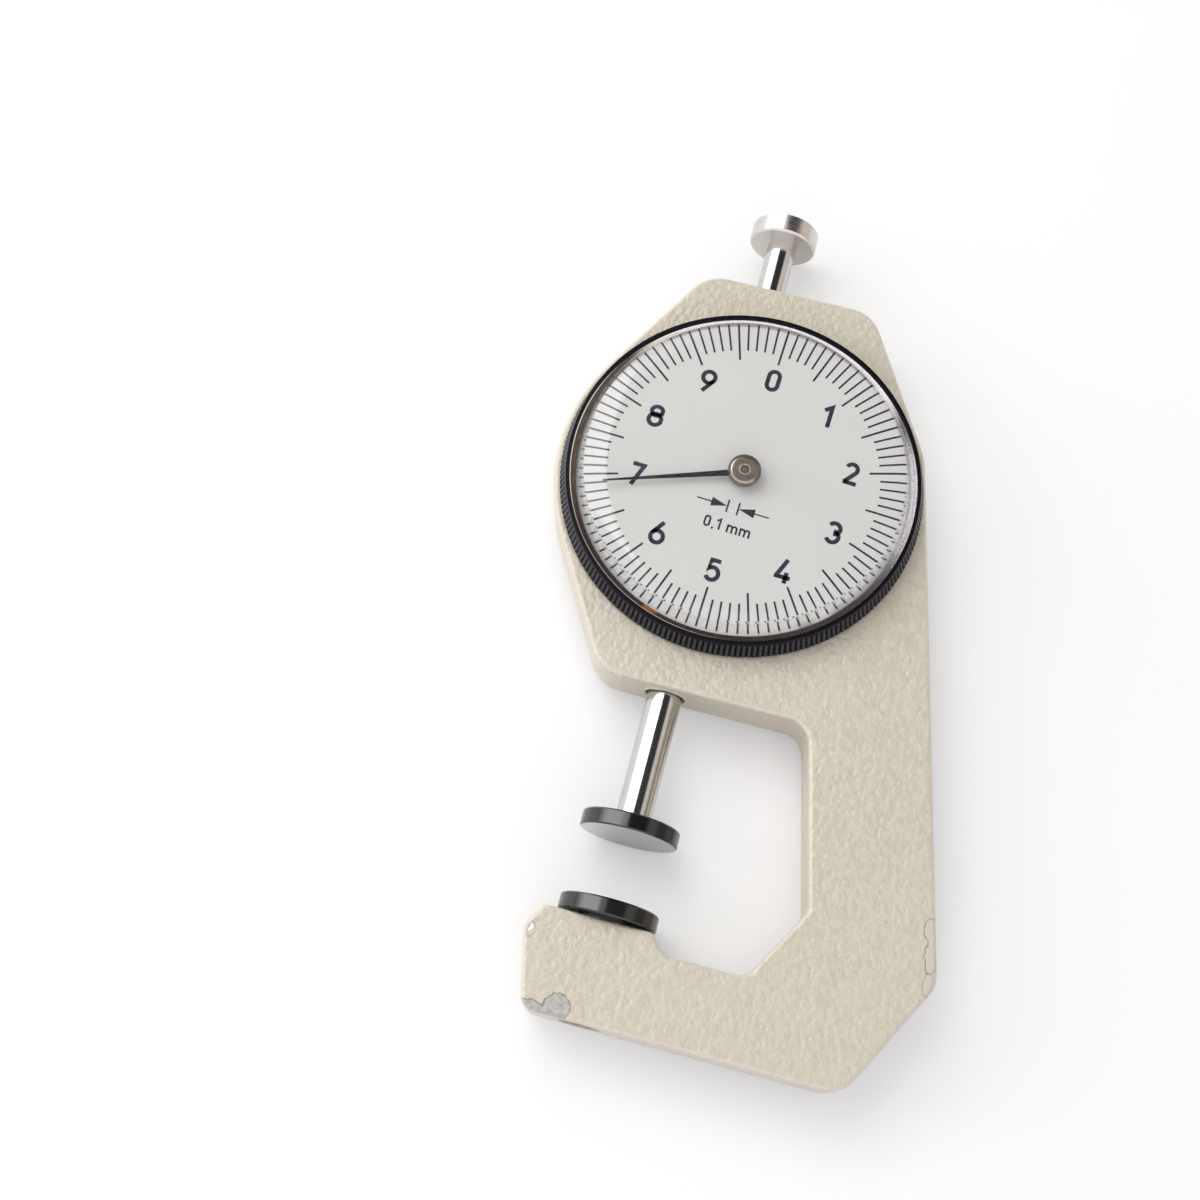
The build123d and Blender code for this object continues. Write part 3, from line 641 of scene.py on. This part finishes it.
@dataclass(frozen=True)
class SilverDial(Finish):
    """Pale dial with a fine blasted grain and painted shade on its rim, under the crystal's foot.
    """

    centre: Point = (0.0, 0.0)
    colour: Triple = (0.665, 0.655, 0.635)
    # Painted shade colour for the rim under the crystal's foot.
    painted_rim_shading: Triple = (0.50, 0.48, 0.475)
    shaded_rim_radius: float = 17.2
    grain_per_mm: float = 14.0
    clouds_per_mm: float = 0.08
    smooth: float = 0.5
    coarse: float = 0.6
    depth: float = 0.002

    def paint(self, graph: Graph) -> Wire:
        """Even silver grey with a grain too fine to read, and painted shade at the rim."""
        place = graph.place()
        grain = graph.noise(place, self.grain_per_mm)
        cloud = graph.noise(place, self.clouds_per_mm)
        tone = graph.ramp(grain * 0.5 + cloud * 0.5, *NOISE_BAND)
        colour = graph.blend(tone, self.colour, scaled(self.colour, 0.965))
        # Painted shade: the rim beyond this radius is painted darker, under the crystal's foot.
        edge = graph.ramp(graph.radius(place, self.centre), self.shaded_rim_radius, self.shaded_rim_radius + 0.06)
        return graph.surface(
            base_color=graph.blend(edge, colour, self.painted_rim_shading),
            roughness=graph.gloss(grain, self.smooth, self.coarse),
            normal=graph.bump(grain, self.depth),
        )


@dataclass(frozen=True)
class Enamel(Finish):
    """Thin dark print or enamel."""

    colour: Triple = (0.012, 0.011, 0.024)
    smooth: float = 0.35
    coarse: float = 0.5
    ripples_per_mm: float = 5.0
    depth: float = 0.002

    def paint(self, graph: Graph) -> Wire:
        """Dark film with slight changes of body and gloss."""
        place = graph.place()
        film = graph.noise(place, self.ripples_per_mm, 3.0)
        return graph.surface(
            base_color=graph.blend(film, self.colour, scaled(self.colour, 1.6)),
            roughness=graph.gloss(film, self.smooth, self.coarse),
            normal=graph.bump(film, self.depth),
        )


@dataclass(frozen=True)
class ClearAcrylic(Finish):
    """Clear moulded acrylic that lets light through without a hard shadow."""

    centre: Point = (0.0, 0.0)
    bore: float = 16.56
    clear_share: float = 0.78
    index: float = 1.49
    haze: float = 0.02

    def paint(self, graph: Graph) -> Wire:
        """Refracting front, side wall that bends little, open to shadow and mirror rays."""
        place = graph.place()
        wall = graph.ramp(graph.radius(place, self.centre), self.bore - 0.03, self.bore)
        haze = graph.noise(place, 0.8, 3.0)
        body = graph.surface(
            base_color=WHITE,
            roughness=graph.ramp(haze, 0.4, 0.8, 0.0, self.haze),
            ior=self.index,
            transmission_weight=1.0,
        )
        clear = graph.node("ShaderNodeBsdfTransparent", None, {"Color": WHITE})
        passing = graph.most(graph.ray("Is Shadow Ray"), graph.ray("Is Glossy Ray"))
        return graph.mix(graph.most(passing, wall * self.clear_share), body, clear)


@dataclass(frozen=True)
class PaleFloor(Finish):
    """Plain pale floor, whose far parts glow as white as the world behind them."""

    colour: Triple = (0.945, 0.94, 0.945)
    light: Triple = (1.0, 0.99, 1.0)
    middle: Point = (0.0, 30.0)
    lift: float = 0.25
    near: float = 120.0
    far: float = 210.0

    def paint(self, graph: Graph) -> Wire:
        """Matt near-white with a faint mottle, lifted for the camera alone."""
        place = graph.place()
        mottle = graph.noise(place, 0.02)
        colour = graph.blend(mottle, self.colour, scaled(self.colour, 0.985))
        body = graph.surface(base_color=colour, roughness=0.8, specular_ior_level=0.2)
        glow = graph.node("ShaderNodeEmission", None, {"Color": self.light})
        share = graph.ramp(graph.radius(place, self.middle), self.near, self.far, self.lift, 1.0)
        return graph.mix(graph.ray("Is Camera Ray") * share, body, glow)


# ---- mesh helpers ----

def make_mesh(name: str, points: Sequence[Triple], faces: Sequence[Sequence[int]],
              smooth: bool = False) -> bpy.types.Object:
    """Make an object from points in millimetres.

    Args:
        name: Name of the piece.
        points: Vertices in the row frame.
        faces: Vertex numbers of each face.
        smooth: Whether the faces shade smoothly.

    Returns:
        The linked object.
    """
    mesh = bpy.data.meshes.new(name)
    mesh.from_pydata([scaled(point, MM) for point in points], [], faces)
    mesh.validate()
    mesh.update()
    for polygon in mesh.polygons:
        polygon.use_smooth = smooth
    piece = bpy.data.objects.new(name, mesh)
    bpy.context.scene.collection.objects.link(piece)
    return piece


class Film:
    """A thin printed film, collected from flat outlines into one mesh."""

    def __init__(self, low: float, high: float) -> None:
        """Start an empty film between the heights of its underside and its face."""
        self.low = low
        self.high = high
        self.points: list[Triple] = []
        self.faces: list[list[int]] = []

    def patch(self, outline: Sequence[Point]) -> None:
        """Add a convex flat patch with its edge walls, given counter-clockwise."""
        first = len(self.points)
        count = len(outline)
        for z in (self.low, self.high):
            self.points += [(x, y, z) for x, y in outline]
        self.faces.append([first + count + i for i in range(count)])
        for i in range(count):
            j = (i + 1) % count
            self.faces.append([first + i, first + j, first + count + j, first + count + i])

    def stroke(self, line: Sequence[Point], width: float) -> None:
        """Add a pen stroke of even width along a line of points.

        Args:
            line: Points of the pen's path.
            width: Width of the stroke.
        """
        left: list[Point] = []
        right: list[Point] = []
        headings = [atan2(q[1] - p[1], q[0] - p[0]) for p, q in zip(line, line[1:])]
        for i, (x, y) in enumerate(line):
            before = headings[max(i - 1, 0)]
            after = headings[min(i, len(headings) - 1)]
            turn = (after - before + pi) % (2 * pi) - pi
            middle = before + turn / 2
            reach = width / 2 / max(cos(turn / 2), LEAST_MITRE)
            left.append((x - reach * sin(middle), y + reach * cos(middle)))
            right.append((x + reach * sin(middle), y - reach * cos(middle)))
        for i in range(len(line) - 1):
            self.patch([right[i], right[i + 1], left[i + 1], left[i]])

    def make(self, name: str) -> bpy.types.Object:
        """Make the film's mesh."""
        return make_mesh(name, self.points, self.faces)


def arc(centre: Point, radius: Point, start: float, end: float, steps: int = 14) -> list[Point]:
    """Points of an elliptic arc.

    Args:
        centre: Centre of the ellipse.
        radius: Its two half axes.
        start: First angle in degrees, counter-clockwise from +X.
        end: Last angle in degrees.
        steps: Number of pieces.

    Returns:
        The points from start to end.
    """
    points = []
    for i in range(steps + 1):
        angle = radians(start + (end - start) * i / steps)
        points.append((centre[0] + radius[0] * cos(angle), centre[1] + radius[1] * sin(angle)))
    return points


@dataclass(frozen=True)
class Lettering:
    """Narrow technical figures drawn with a pen of even width, one unit high."""

    width: float = 0.61
    pen: float = 0.175

    def strokes(self, figure: str) -> list[list[Point]]:
        """Pen paths of one figure.

        Args:
            figure: A digit, a comma or the letter m.

        Returns:
            Paths in a box that is one unit high.
        """
        edge = self.pen / 2
        right = self.width - edge
        top = 1.0 - edge
        mid = self.width / 2
        r = mid - edge
        upper = 0.235
        six = [[(mid + 0.13, 1.0)] + arc((mid, edge + 0.25), (0.25, 0.255), 152, 514, 28)]
        table: dict[str, list[list[Point]]] = {
            "0": [arc((mid, top - r), (r, r), 0, 180) + arc((mid, edge + r), (r, r), 180, 360)
                  + [(right, top - r)]],
            "1": [[(mid + 0.10, 0.0), (mid + 0.10, top), (mid - 0.17, top - 0.20)]],
            "2": [arc((mid, top - r), (r, r), 165, -38, 16) + [(edge + 0.02, edge)],
                  [(edge - 0.03, edge), (right + edge, edge)]],
            "3": [arc((mid - 0.01, top - upper), (upper, upper), 150, -90, 14),
                  arc((mid - 0.01, edge + 0.245), (0.245, 0.245), 90, -155, 14)],
            "4": [[(mid + 0.17, 1.0), (edge + 0.1, 0.27), (edge + 0.1, 0.24),
                   (self.width + 0.13, 0.24)], [(mid + 0.25, 0.46), (mid + 0.25, 0.0)]],
            "5": [[(right, top), (edge + 0.07, top), (edge + 0.03, 0.53)]
                  + arc((mid - 0.01, edge + 0.265), (0.25, 0.265), 128, -150, 16)],
            "6": six,
            "7": [[(edge - 0.03, top), (right, top), (edge + 0.13, 0.0)]],
            "8": [arc((mid, top - 0.205), (0.228, 0.205), 0, 360, 24),
                  arc((mid, edge + 0.25), (0.258, 0.25), 0, 360, 24)],
            "9": [[(self.width - x, 1.0 - y) for x, y in path] for path in six],
            ",": [[(0.12, 0.10), (0.04, -0.08)]],
            "m": [[(edge, 0.0), (edge, 0.70)],
                  arc((edge + 0.19, 0.70 - edge - 0.17), (0.19, 0.17), 150, 0, 8)
                  + [(edge + 0.38, 0.0)],
                  arc((edge + 0.57, 0.70 - edge - 0.17), (0.19, 0.17), 180, 0, 8)
                  + [(edge + 0.76, 0.0)]],
        }
        return table[figure]


# ---- sub-assemblies ----

@dataclass
class Assembly:
    """A named group of pieces that is dressed and reported together."""

    title: str

    def nodes(self, finish: Finish, names: Iterable[str]) -> None:
        """Dress the named CAD nodes with one finish."""
        for name in names:
            finish.wear(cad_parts[name])
            log.info("%s: %s wears %s", self.title, name, finish.name)

    def add(self, piece: bpy.types.Object, finish: Finish, body: str, slot: str) -> None:
        """Dress a new piece and let it ride on a body.

        Args:
            piece: The piece.
            finish: Its finish.
            body: The body that it rides on.
            slot: Name of a material slot; not used.
        """
        finish.wear(piece)
        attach(piece, body)
        log.info("%s: %s rides on %s", self.title, piece.name, body)


@dataclass
class CastFrame(Assembly):
    """Lacquered frame, its cover, its screws and the lacquer's lip round the spindle."""

    title: str = "frame"
    lip_width: float = 0.22
    lip_height: float = 0.16
    lip_gap: float = 0.3
    lip_shape: tuple[Point, ...] = (
        (0.0, 0.5), (-0.02, 0.0), (0.02, -0.7), (0.35, -1.0), (0.8, -0.6), (1.0, 0.1))
    lip_waves: tuple[Triple, ...] = ((0.12, 3, 0.7), (0.08, 7, 0.0))
    bush_inset: float = 1.0
    steps: int = 72

    def lacquer(self) -> HammerLacquer:
        """The frame's lacquer with its knocked corners and a painted highlight on a dent."""
        chips = (
            Chip((-2.4, -11.0, 3.2), (1.3, 1.3, 1.2)),
            Chip((-5.2, -12.0, 3.4), (2.4, 1.1, 1.2)),
        )
        scars = (
            Chip((-6.7, -4.6, 3.4), (0.42, 0.85, 0.5)),
            Chip((31.2, 0.0, 3.2), (0.5, 1.1, 0.9)),
            Chip((31.1, 3.2, 3.3), (0.75, 2.2, 0.8)),
            Chip((30.8, 5.2, 3.3), (1.0, 1.2, 0.8)),
        )
        # Painted highlight on the small dent at the housing's upper left.
        painted_highlight_spots = (Chip((-6.85, -4.45, 3.3), (0.2, 0.5, 0.5)),)
        return HammerLacquer("hammer_lacquer_frame", chips=chips, scars=scars, painted_highlight_spots=painted_highlight_spots)

    def spindle_lip(self) -> bpy.types.Object:
        """Uneven soft bead of lacquer round the hole in the housing's bottom."""
        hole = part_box("spindle")[1].x / MM + self.lip_gap
        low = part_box("lower_guide_bush")[0].y / MM - self.bush_inset
        points: list[Triple] = []
        faces: list[list[int]] = []
        for i in range(self.steps):
            angle = 2 * pi * i / self.steps
            wobble = sum((share * sin(times * angle + phase)
                          for share, times, phase in self.lip_waves), start=1.0)
            for out, drop in self.lip_shape:
                radius = hole + out * self.lip_width * wobble
                points.append((radius * cos(angle), low + drop * self.lip_height * wobble,
                               radius * sin(angle)))
        count = len(self.lip_shape)
        for i in range(self.steps):
            j = (i + 1) % self.steps
            for k in range(count - 1):
                faces.append([i * count + k, i * count + k + 1, j * count + k + 1, j * count + k])
        return make_mesh("spindle_hole_lip", points, faces, smooth=True)

    def build(self) -> None:
        """Dress the frame and add the lip."""
        self.nodes(self.lacquer(), ["frame"])
        plain = HammerLacquer("hammer_lacquer_cover")
        self.nodes(plain, ["rear_cover"])
        steel = TurnedMetal("zinc_screws", colour=(0.50, 0.49, 0.47), lay=TurnedMetal.Lay.NONE,
                            smooth=0.25, coarse=0.38)
        self.nodes(steel, ["rear_cover_screws", "lower_anvil_screw", "movement_plate_screws"])
        brass = TurnedMetal("bush_brass", colour=(0.55, 0.40, 0.20), smooth=0.2, coarse=0.34)
        self.nodes(brass, ["upper_guide_bush", "lower_guide_bush"])
        self.add(self.spindle_lip(), plain, "frame", "lacquer")


@dataclass
class MeasuringSpindle(Assembly):
    """Spindle with its rack, anvils, knob, carrier and return spring."""

    title: str = "spindle"

    def build(self) -> None:
        """Dress the spindle's nodes."""
        ground = TurnedMetal("ground_steel", colour=(0.63, 0.62, 0.61), smooth=0.1, coarse=0.17)
        self.nodes(ground, ["spindle", "guide_pin"])
        nickel = TurnedMetal("polished_nickel", colour=(0.70, 0.675, 0.64), smooth=0.24,
                             coarse=0.34, lines_per_mm=6.0)
        self.nodes(nickel, ["lifting_knob"])
        self.nodes(BlackAnvil("blackened_anvil"), ["upper_anvil", "lower_anvil"])
        brass = TurnedMetal("carrier_brass", colour=(0.56, 0.41, 0.20), lay=TurnedMetal.Lay.NONE,
                            smooth=0.22, coarse=0.36)
        self.nodes(brass, ["carrier"])
        wire = TurnedMetal("spring_wire", colour=(0.40, 0.40, 0.42), smooth=0.18, coarse=0.3)
        self.nodes(wire, ["return_spring"])


@dataclass
class Movement(Assembly):
    """Brass works, pinion, hairspring, needle and hub."""

    title: str = "movement"
    centre: Point = (0.0, 0.0)

    def build(self) -> None:
        """Dress the works."""
        ring = TurnedMetal.Lay.ROUND_DIAL
        brass = TurnedMetal("plate_brass", colour=(0.58, 0.43, 0.21), lay=ring, centre=self.centre,
                            smooth=0.24, coarse=0.4, lines_per_mm=5.0)
        self.nodes(brass, ["movement_plate", "movement_pillars", "rear_bridge", "front_bearing",
                           "rear_bearing", "hairspring_stud", "hairspring_collet"])
        steel = TurnedMetal("pinion_steel", colour=(0.55, 0.55, 0.56), lay=ring, centre=self.centre,
                            smooth=0.15, coarse=0.28)
        self.nodes(steel, ["pinion", "arbor"])
        bronze = TurnedMetal("hairspring_bronze", colour=(0.50, 0.34, 0.16), lay=ring,
                             centre=self.centre, smooth=0.2, coarse=0.3)
        self.nodes(bronze, ["hairspring"])
        self.nodes(TurnedHub("turned_hub", centre=self.centre), ["needle_hub"])
        self.nodes(Enamel("needle_enamel", colour=(0.008, 0.008, 0.012), smooth=0.25, coarse=0.4),
                   ["needle"])


@dataclass
class DialPrint(Assembly):
    """Graduations, figures and legend printed on the dial."""

    title: str = "dial print"
    centre: Point = (0.0, 0.0)
    face: float = 5.1
    turned: float = 3.0
    film: float = 0.012
    divisions: int = 100
    per_figure: int = 10
    outer: float = 17.0
    fine_inner: float = 14.1
    long_inner: float = 13.0
    fine_width: float = 0.2
    long_width: float = 0.215
    digits: str = "0123456789"
    figure_radius: float = 11.1
    figure_height: float = 2.58
    figure_pen: Lettering = Lettering()
    legend_drop: float = 3.95
    bar_place: float = 0.56
    bar_half: float = 0.72
    bar_width: float = 0.18
    arrow_tip: float = 0.62
    arrow_root: float = 2.3
    arrow_tail: float = 3.85
    arrow_half: float = 0.5
    shaft_width: float = 0.15
    unit: tuple[tuple[str, float], ...] = (
        ("0", 0.72), (",", 0.24), ("1", 0.98), ("m", 1.06), ("m", 0.9))
    unit_start: Point = (-2.45, -6.75)
    unit_height: float = 1.26
    unit_pen: Lettering = Lettering(width=0.56, pen=0.16)

    def place(self, point: Point) -> Point:
        """Move a point of the upright dial to the row frame, with the dial's turn."""
        angle = -radians(self.turned)
        x, y = point
        return (self.centre[0] + x * cos(angle) - y * sin(angle),
                self.centre[1] + x * sin(angle) + y * cos(angle))

    def sheet(self) -> Film:
        """Empty film that lies on the dial."""
        return Film(self.face - self.film, self.face + self.film)

    def graduations(self) -> bpy.types.Object:
        """Tenths all round, with longer and bolder halves and wholes."""
        film = self.sheet()
        for mark in range(self.divisions):
            bold = mark % (self.per_figure // 2) == 0
            inner = self.long_inner if bold else self.fine_inner
            width = self.long_width if bold else self.fine_width
            angle = 2 * pi * mark / self.divisions
            ends = [(r * sin(angle), r * cos(angle)) for r in (inner, self.outer)]
            film.stroke([self.place(p) for p in ends], width)
        return film.make("dial_graduations")

    def write(self, film: Film, pen: Lettering, figure: str, height: float, corner: Point) -> None:
        """Write one figure upright on the dial.

        Args:
            film: The film to write on.
            pen: The hand to write in.
            figure: The figure.
            height: Its height.
            corner: Lower left corner of its box on the upright dial.
        """
        for path in pen.strokes(figure):
            line = [self.place((corner[0] + x * height, corner[1] + y * height)) for x, y in path]
            film.stroke(line, pen.pen * height)

    def figures(self) -> bpy.types.Object:
        """Upright figures 0 to 9."""
        film = self.sheet()
        height = self.figure_height
        for i, digit in enumerate(self.digits):
            angle = 2 * pi * i / len(self.digits)
            left = self.figure_radius * sin(angle) - self.figure_pen.width * height / 2
            low = self.figure_radius * cos(angle) - height / 2
            self.write(film, self.figure_pen, digit, height, (left, low))
        return film.make("dial_figures")

    def legend(self) -> bpy.types.Object:
        """Two bars with arrows that show the value of one division."""
        film = self.sheet()
        level = -self.legend_drop
        for side in (-1, 1):
            bar, tip = side * self.bar_place, side * self.arrow_tip
            root, tail = side * self.arrow_root, side * self.arrow_tail
            ends = [(bar, level - self.bar_half), (bar, level + self.bar_half)]
            film.stroke([self.place(p) for p in ends], self.bar_width)
            film.stroke([self.place(p) for p in ((root, level), (tail, level))], self.shaft_width)
            head = [(tip, level), (root, level - side * self.arrow_half),
                    (root, level + side * self.arrow_half)]
            film.patch([self.place(p) for p in head])
        return film.make("dial_legend")

    def unit_text(self) -> bpy.types.Object:
        """The value of one division in words."""
        film = self.sheet()
        cursor, low = self.unit_start
        for figure, advance in self.unit:
            self.write(film, self.unit_pen, figure, self.unit_height, (cursor, low))
            cursor += advance * self.unit_height
        return film.make("dial_unit_text")

    def build(self) -> None:
        """Print everything on the dial."""
        ink = Enamel("dial_ink")
        for piece in (self.graduations(), self.figures(), self.legend(), self.unit_text()):
            self.add(piece, ink, "bezel", "dial_face")


@dataclass
class Head(Assembly):
    """Knurled bezel, dial, crystal and their split rings."""

    title: str = "head"
    centre: Point = (0.0, 0.0)

    def build(self) -> None:
        """Dress the head."""
        self.nodes(BlackBezel("black_bezel", centre=self.centre), ["bezel"])
        self.nodes(SilverDial("silver_dial", centre=self.centre), ["dial_plate"])
        self.nodes(ClearAcrylic("clear_acrylic", centre=self.centre), ["crystal"])
        wire = TurnedMetal("ring_wire", colour=(0.42, 0.42, 0.43), lay=TurnedMetal.Lay.ROUND_DIAL,
                           centre=self.centre, smooth=0.2, coarse=0.32)
        self.nodes(wire, ["bezel_retaining_wire", "dial_ring"])


@dataclass(frozen=True)
class Lamp:
    """Square lamp; its power is in watts."""

    name: str
    spot: Triple
    size: float
    power: float
    colour: Triple = WHITE


@dataclass(frozen=True)
class Room:
    """What metal and clear plastic show: a pale room, a window and a dark ceiling.

    An edge says where a smooth step along one axis of the ray starts and ends.
    """

    pale: Triple = (0.97, 0.95, 0.96)
    warm: Triple = (0.84, 0.77, 0.68)
    dusk: Triple = (0.36, 0.31, 0.28)
    top: Triple = (0.40, 0.35, 0.33)
    front: Triple = (1.35, 1.27, 1.3)
    dark: Triple = (0.045, 0.042, 0.045)
    glare: Triple = (4.6, 4.6, 4.6)
    warm_edge: Point = (0.5, 0.6)
    dusk_edge: Point = (0.84, 0.92)
    top_edge: Point = (0.62, 0.8)
    front_edge: Point = (-0.3, -0.5)
    ceiling_left: Point = (-0.17, -0.11)
    ceiling_right: Point = (0.66, 0.56)
    ceiling_height: Point = (0.3, 0.5)
    ceiling_low: Point = (0.03, 0.12)
    window_right: Point = (-0.11, -0.17)
    window_sill: Point = (0.15, 0.22)
    window_slant: Point = (0.27, 0.2)
    window_height: Point = (0.08, 0.55)
    window_top: Point = (0.62, 0.54)
    sill_step: Point = (-0.36, -0.42)
    sill_rise: float = 0.16
    slant: float = 0.93

    def paint(self, graph: Graph) -> Wire:
        """Colour of the room along a ray."""
        x, y, z = graph.axes(graph.node("ShaderNodeTexCoord", output="Generated"))
        ceiling = graph.within((x, self.ceiling_left), (x, self.ceiling_right),
                               (z, self.ceiling_height), (y, self.ceiling_low))
        sill = y + graph.ramp(x, *self.sill_step) * self.sill_rise
        window = graph.within((x, self.window_right), (sill, self.window_sill),
                              (x + y * self.slant, self.window_slant),
                              (z, self.window_height), (y, self.window_top))
        room = graph.blend(graph.ramp(x, *self.warm_edge), self.pale, self.warm)
        room = graph.blend(graph.ramp(x, *self.dusk_edge), room, self.dusk)
        room = graph.blend(graph.ramp(y, *self.top_edge), room, self.top)
        room = graph.blend(graph.ramp(y, *self.front_edge), room, self.front)
        room = graph.blend(ceiling, room, self.dark)
        return graph.blend(window, room, self.glare)


@dataclass
class Studio(Assembly):
    """Camera, lamps, floor and world."""

    title: str = "studio"
    eye: Triple = (3.385, -22.68, 163.80)
    right: Triple = (0.96662, 0.25605, 0.00928)
    up: Triple = (-0.24582, 0.91656, 0.31541)
    back: Triple = (0.07226, -0.30716, 0.94891)
    lens: float = 49.57
    sensor: float = 36.0
    nearest: float = 5.0
    floor_reach: float = 900.0
    floor_height: float = -5.0
    soft_light: float = 0.66
    aim: Triple = (8.0, 30.0, 0.0)
    lamps: tuple[Lamp, ...] = (
        Lamp("key", (-175.0, 195.0, 355.0), 300.0, 0.75, (1.0, 0.99, 0.97)),
        Lamp("window", (-330.0, 40.0, 120.0), 250.0, 0.45),
        Lamp("bounce", (20.0, -250.0, 110.0), 260.0, 0.22, (0.86, 0.82, 1.0)),
    )

    def camera(self) -> None:
        """Camera at the viewing angle."""
        data = bpy.data.cameras.new("view")
        data.lens = self.lens
        data.sensor_width = self.sensor
        data.clip_start = self.nearest * MM
        eye = bpy.data.objects.new("view", data)
        rows = zip(self.right, self.up, self.back, scaled(self.eye, MM))
        eye.matrix_world = Matrix([*rows, (0.0, 0.0, 0.0, 1.0)])
        bpy.context.scene.collection.objects.link(eye)
        bpy.context.scene.camera = eye

    def hang(self, lamp: Lamp) -> None:
        """Hang one lamp that looks at the gauge and that nothing mirrors."""
        data = bpy.data.lights.new(lamp.name, "AREA")
        data.shape = "SQUARE"
        data.size = lamp.size * MM
        data.energy = lamp.power
        data.color = lamp.colour
        piece = bpy.data.objects.new(lamp.name, data)
        piece.visible_glossy = False
        piece.visible_transmission = False
        piece.location = Vector(lamp.spot) * MM
        ray = Vector(self.aim) - Vector(lamp.spot)
        piece.rotation_euler = ray.to_track_quat("-Z", "Y").to_euler()
        bpy.context.scene.collection.objects.link(piece)

    def floor(self) -> None:
        """Large floor under the gauge."""
        r = self.floor_reach
        z = self.floor_height
        piece = make_mesh("floor", [(-r, -r, z), (r, -r, z), (r, r, z), (-r, r, z)], [[0, 1, 2, 3]])
        PaleFloor("pale_floor").wear(piece)
        piece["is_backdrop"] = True

    def world(self) -> None:
        """Soft white light for matt surfaces, a room for mirrors, white for the camera."""
        world = bpy.data.worlds.new("studio")
        bpy.context.scene.world = world
        world.use_nodes = True
        graph = Graph(world.node_tree)
        light = {"Color": WHITE, "Strength": self.soft_light}
        soft = graph.node("ShaderNodeBackground", None, light)
        mirror = graph.node("ShaderNodeBackground", None, {"Color": Room().paint(graph)})
        white = graph.node("ShaderNodeBackground", None, {"Color": WHITE})
        shown = graph.most(graph.ray("Is Glossy Ray"), graph.ray("Is Transmission Ray"))
        shown = shown * (1.0 - graph.least(graph.ray("Diffuse Depth"), 1.0))
        lit = graph.mix(shown, soft, mirror)
        graph.end(graph.mix(graph.ray("Is Camera Ray"), lit, white), world=True)

    def build(self) -> None:
        """Set up the whole studio."""
        self.camera()
        self.floor()
        self.world()
        for lamp in self.lamps:
            self.hang(lamp)
        bpy.context.scene.view_settings.view_transform = "Standard"


def main() -> None:
    """Build, dress and report every sub-assembly in order."""
    logging.basicConfig(level=logging.INFO, format="%(name)s %(message)s")
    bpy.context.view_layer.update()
    low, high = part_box("bezel")
    centre = ((low.x + high.x) / 2 / MM, (low.y + high.y) / 2 / MM)
    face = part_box("dial_plate")[1].z / MM
    Studio(floor_height=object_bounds()[0][2] / MM).build()
    CastFrame().build()
    MeasuringSpindle().build()
    Movement(centre=centre).build()
    Head(centre=centre).build()
    DialPrint(centre=centre, face=face).build()


if __name__ == "__main__":
    main()
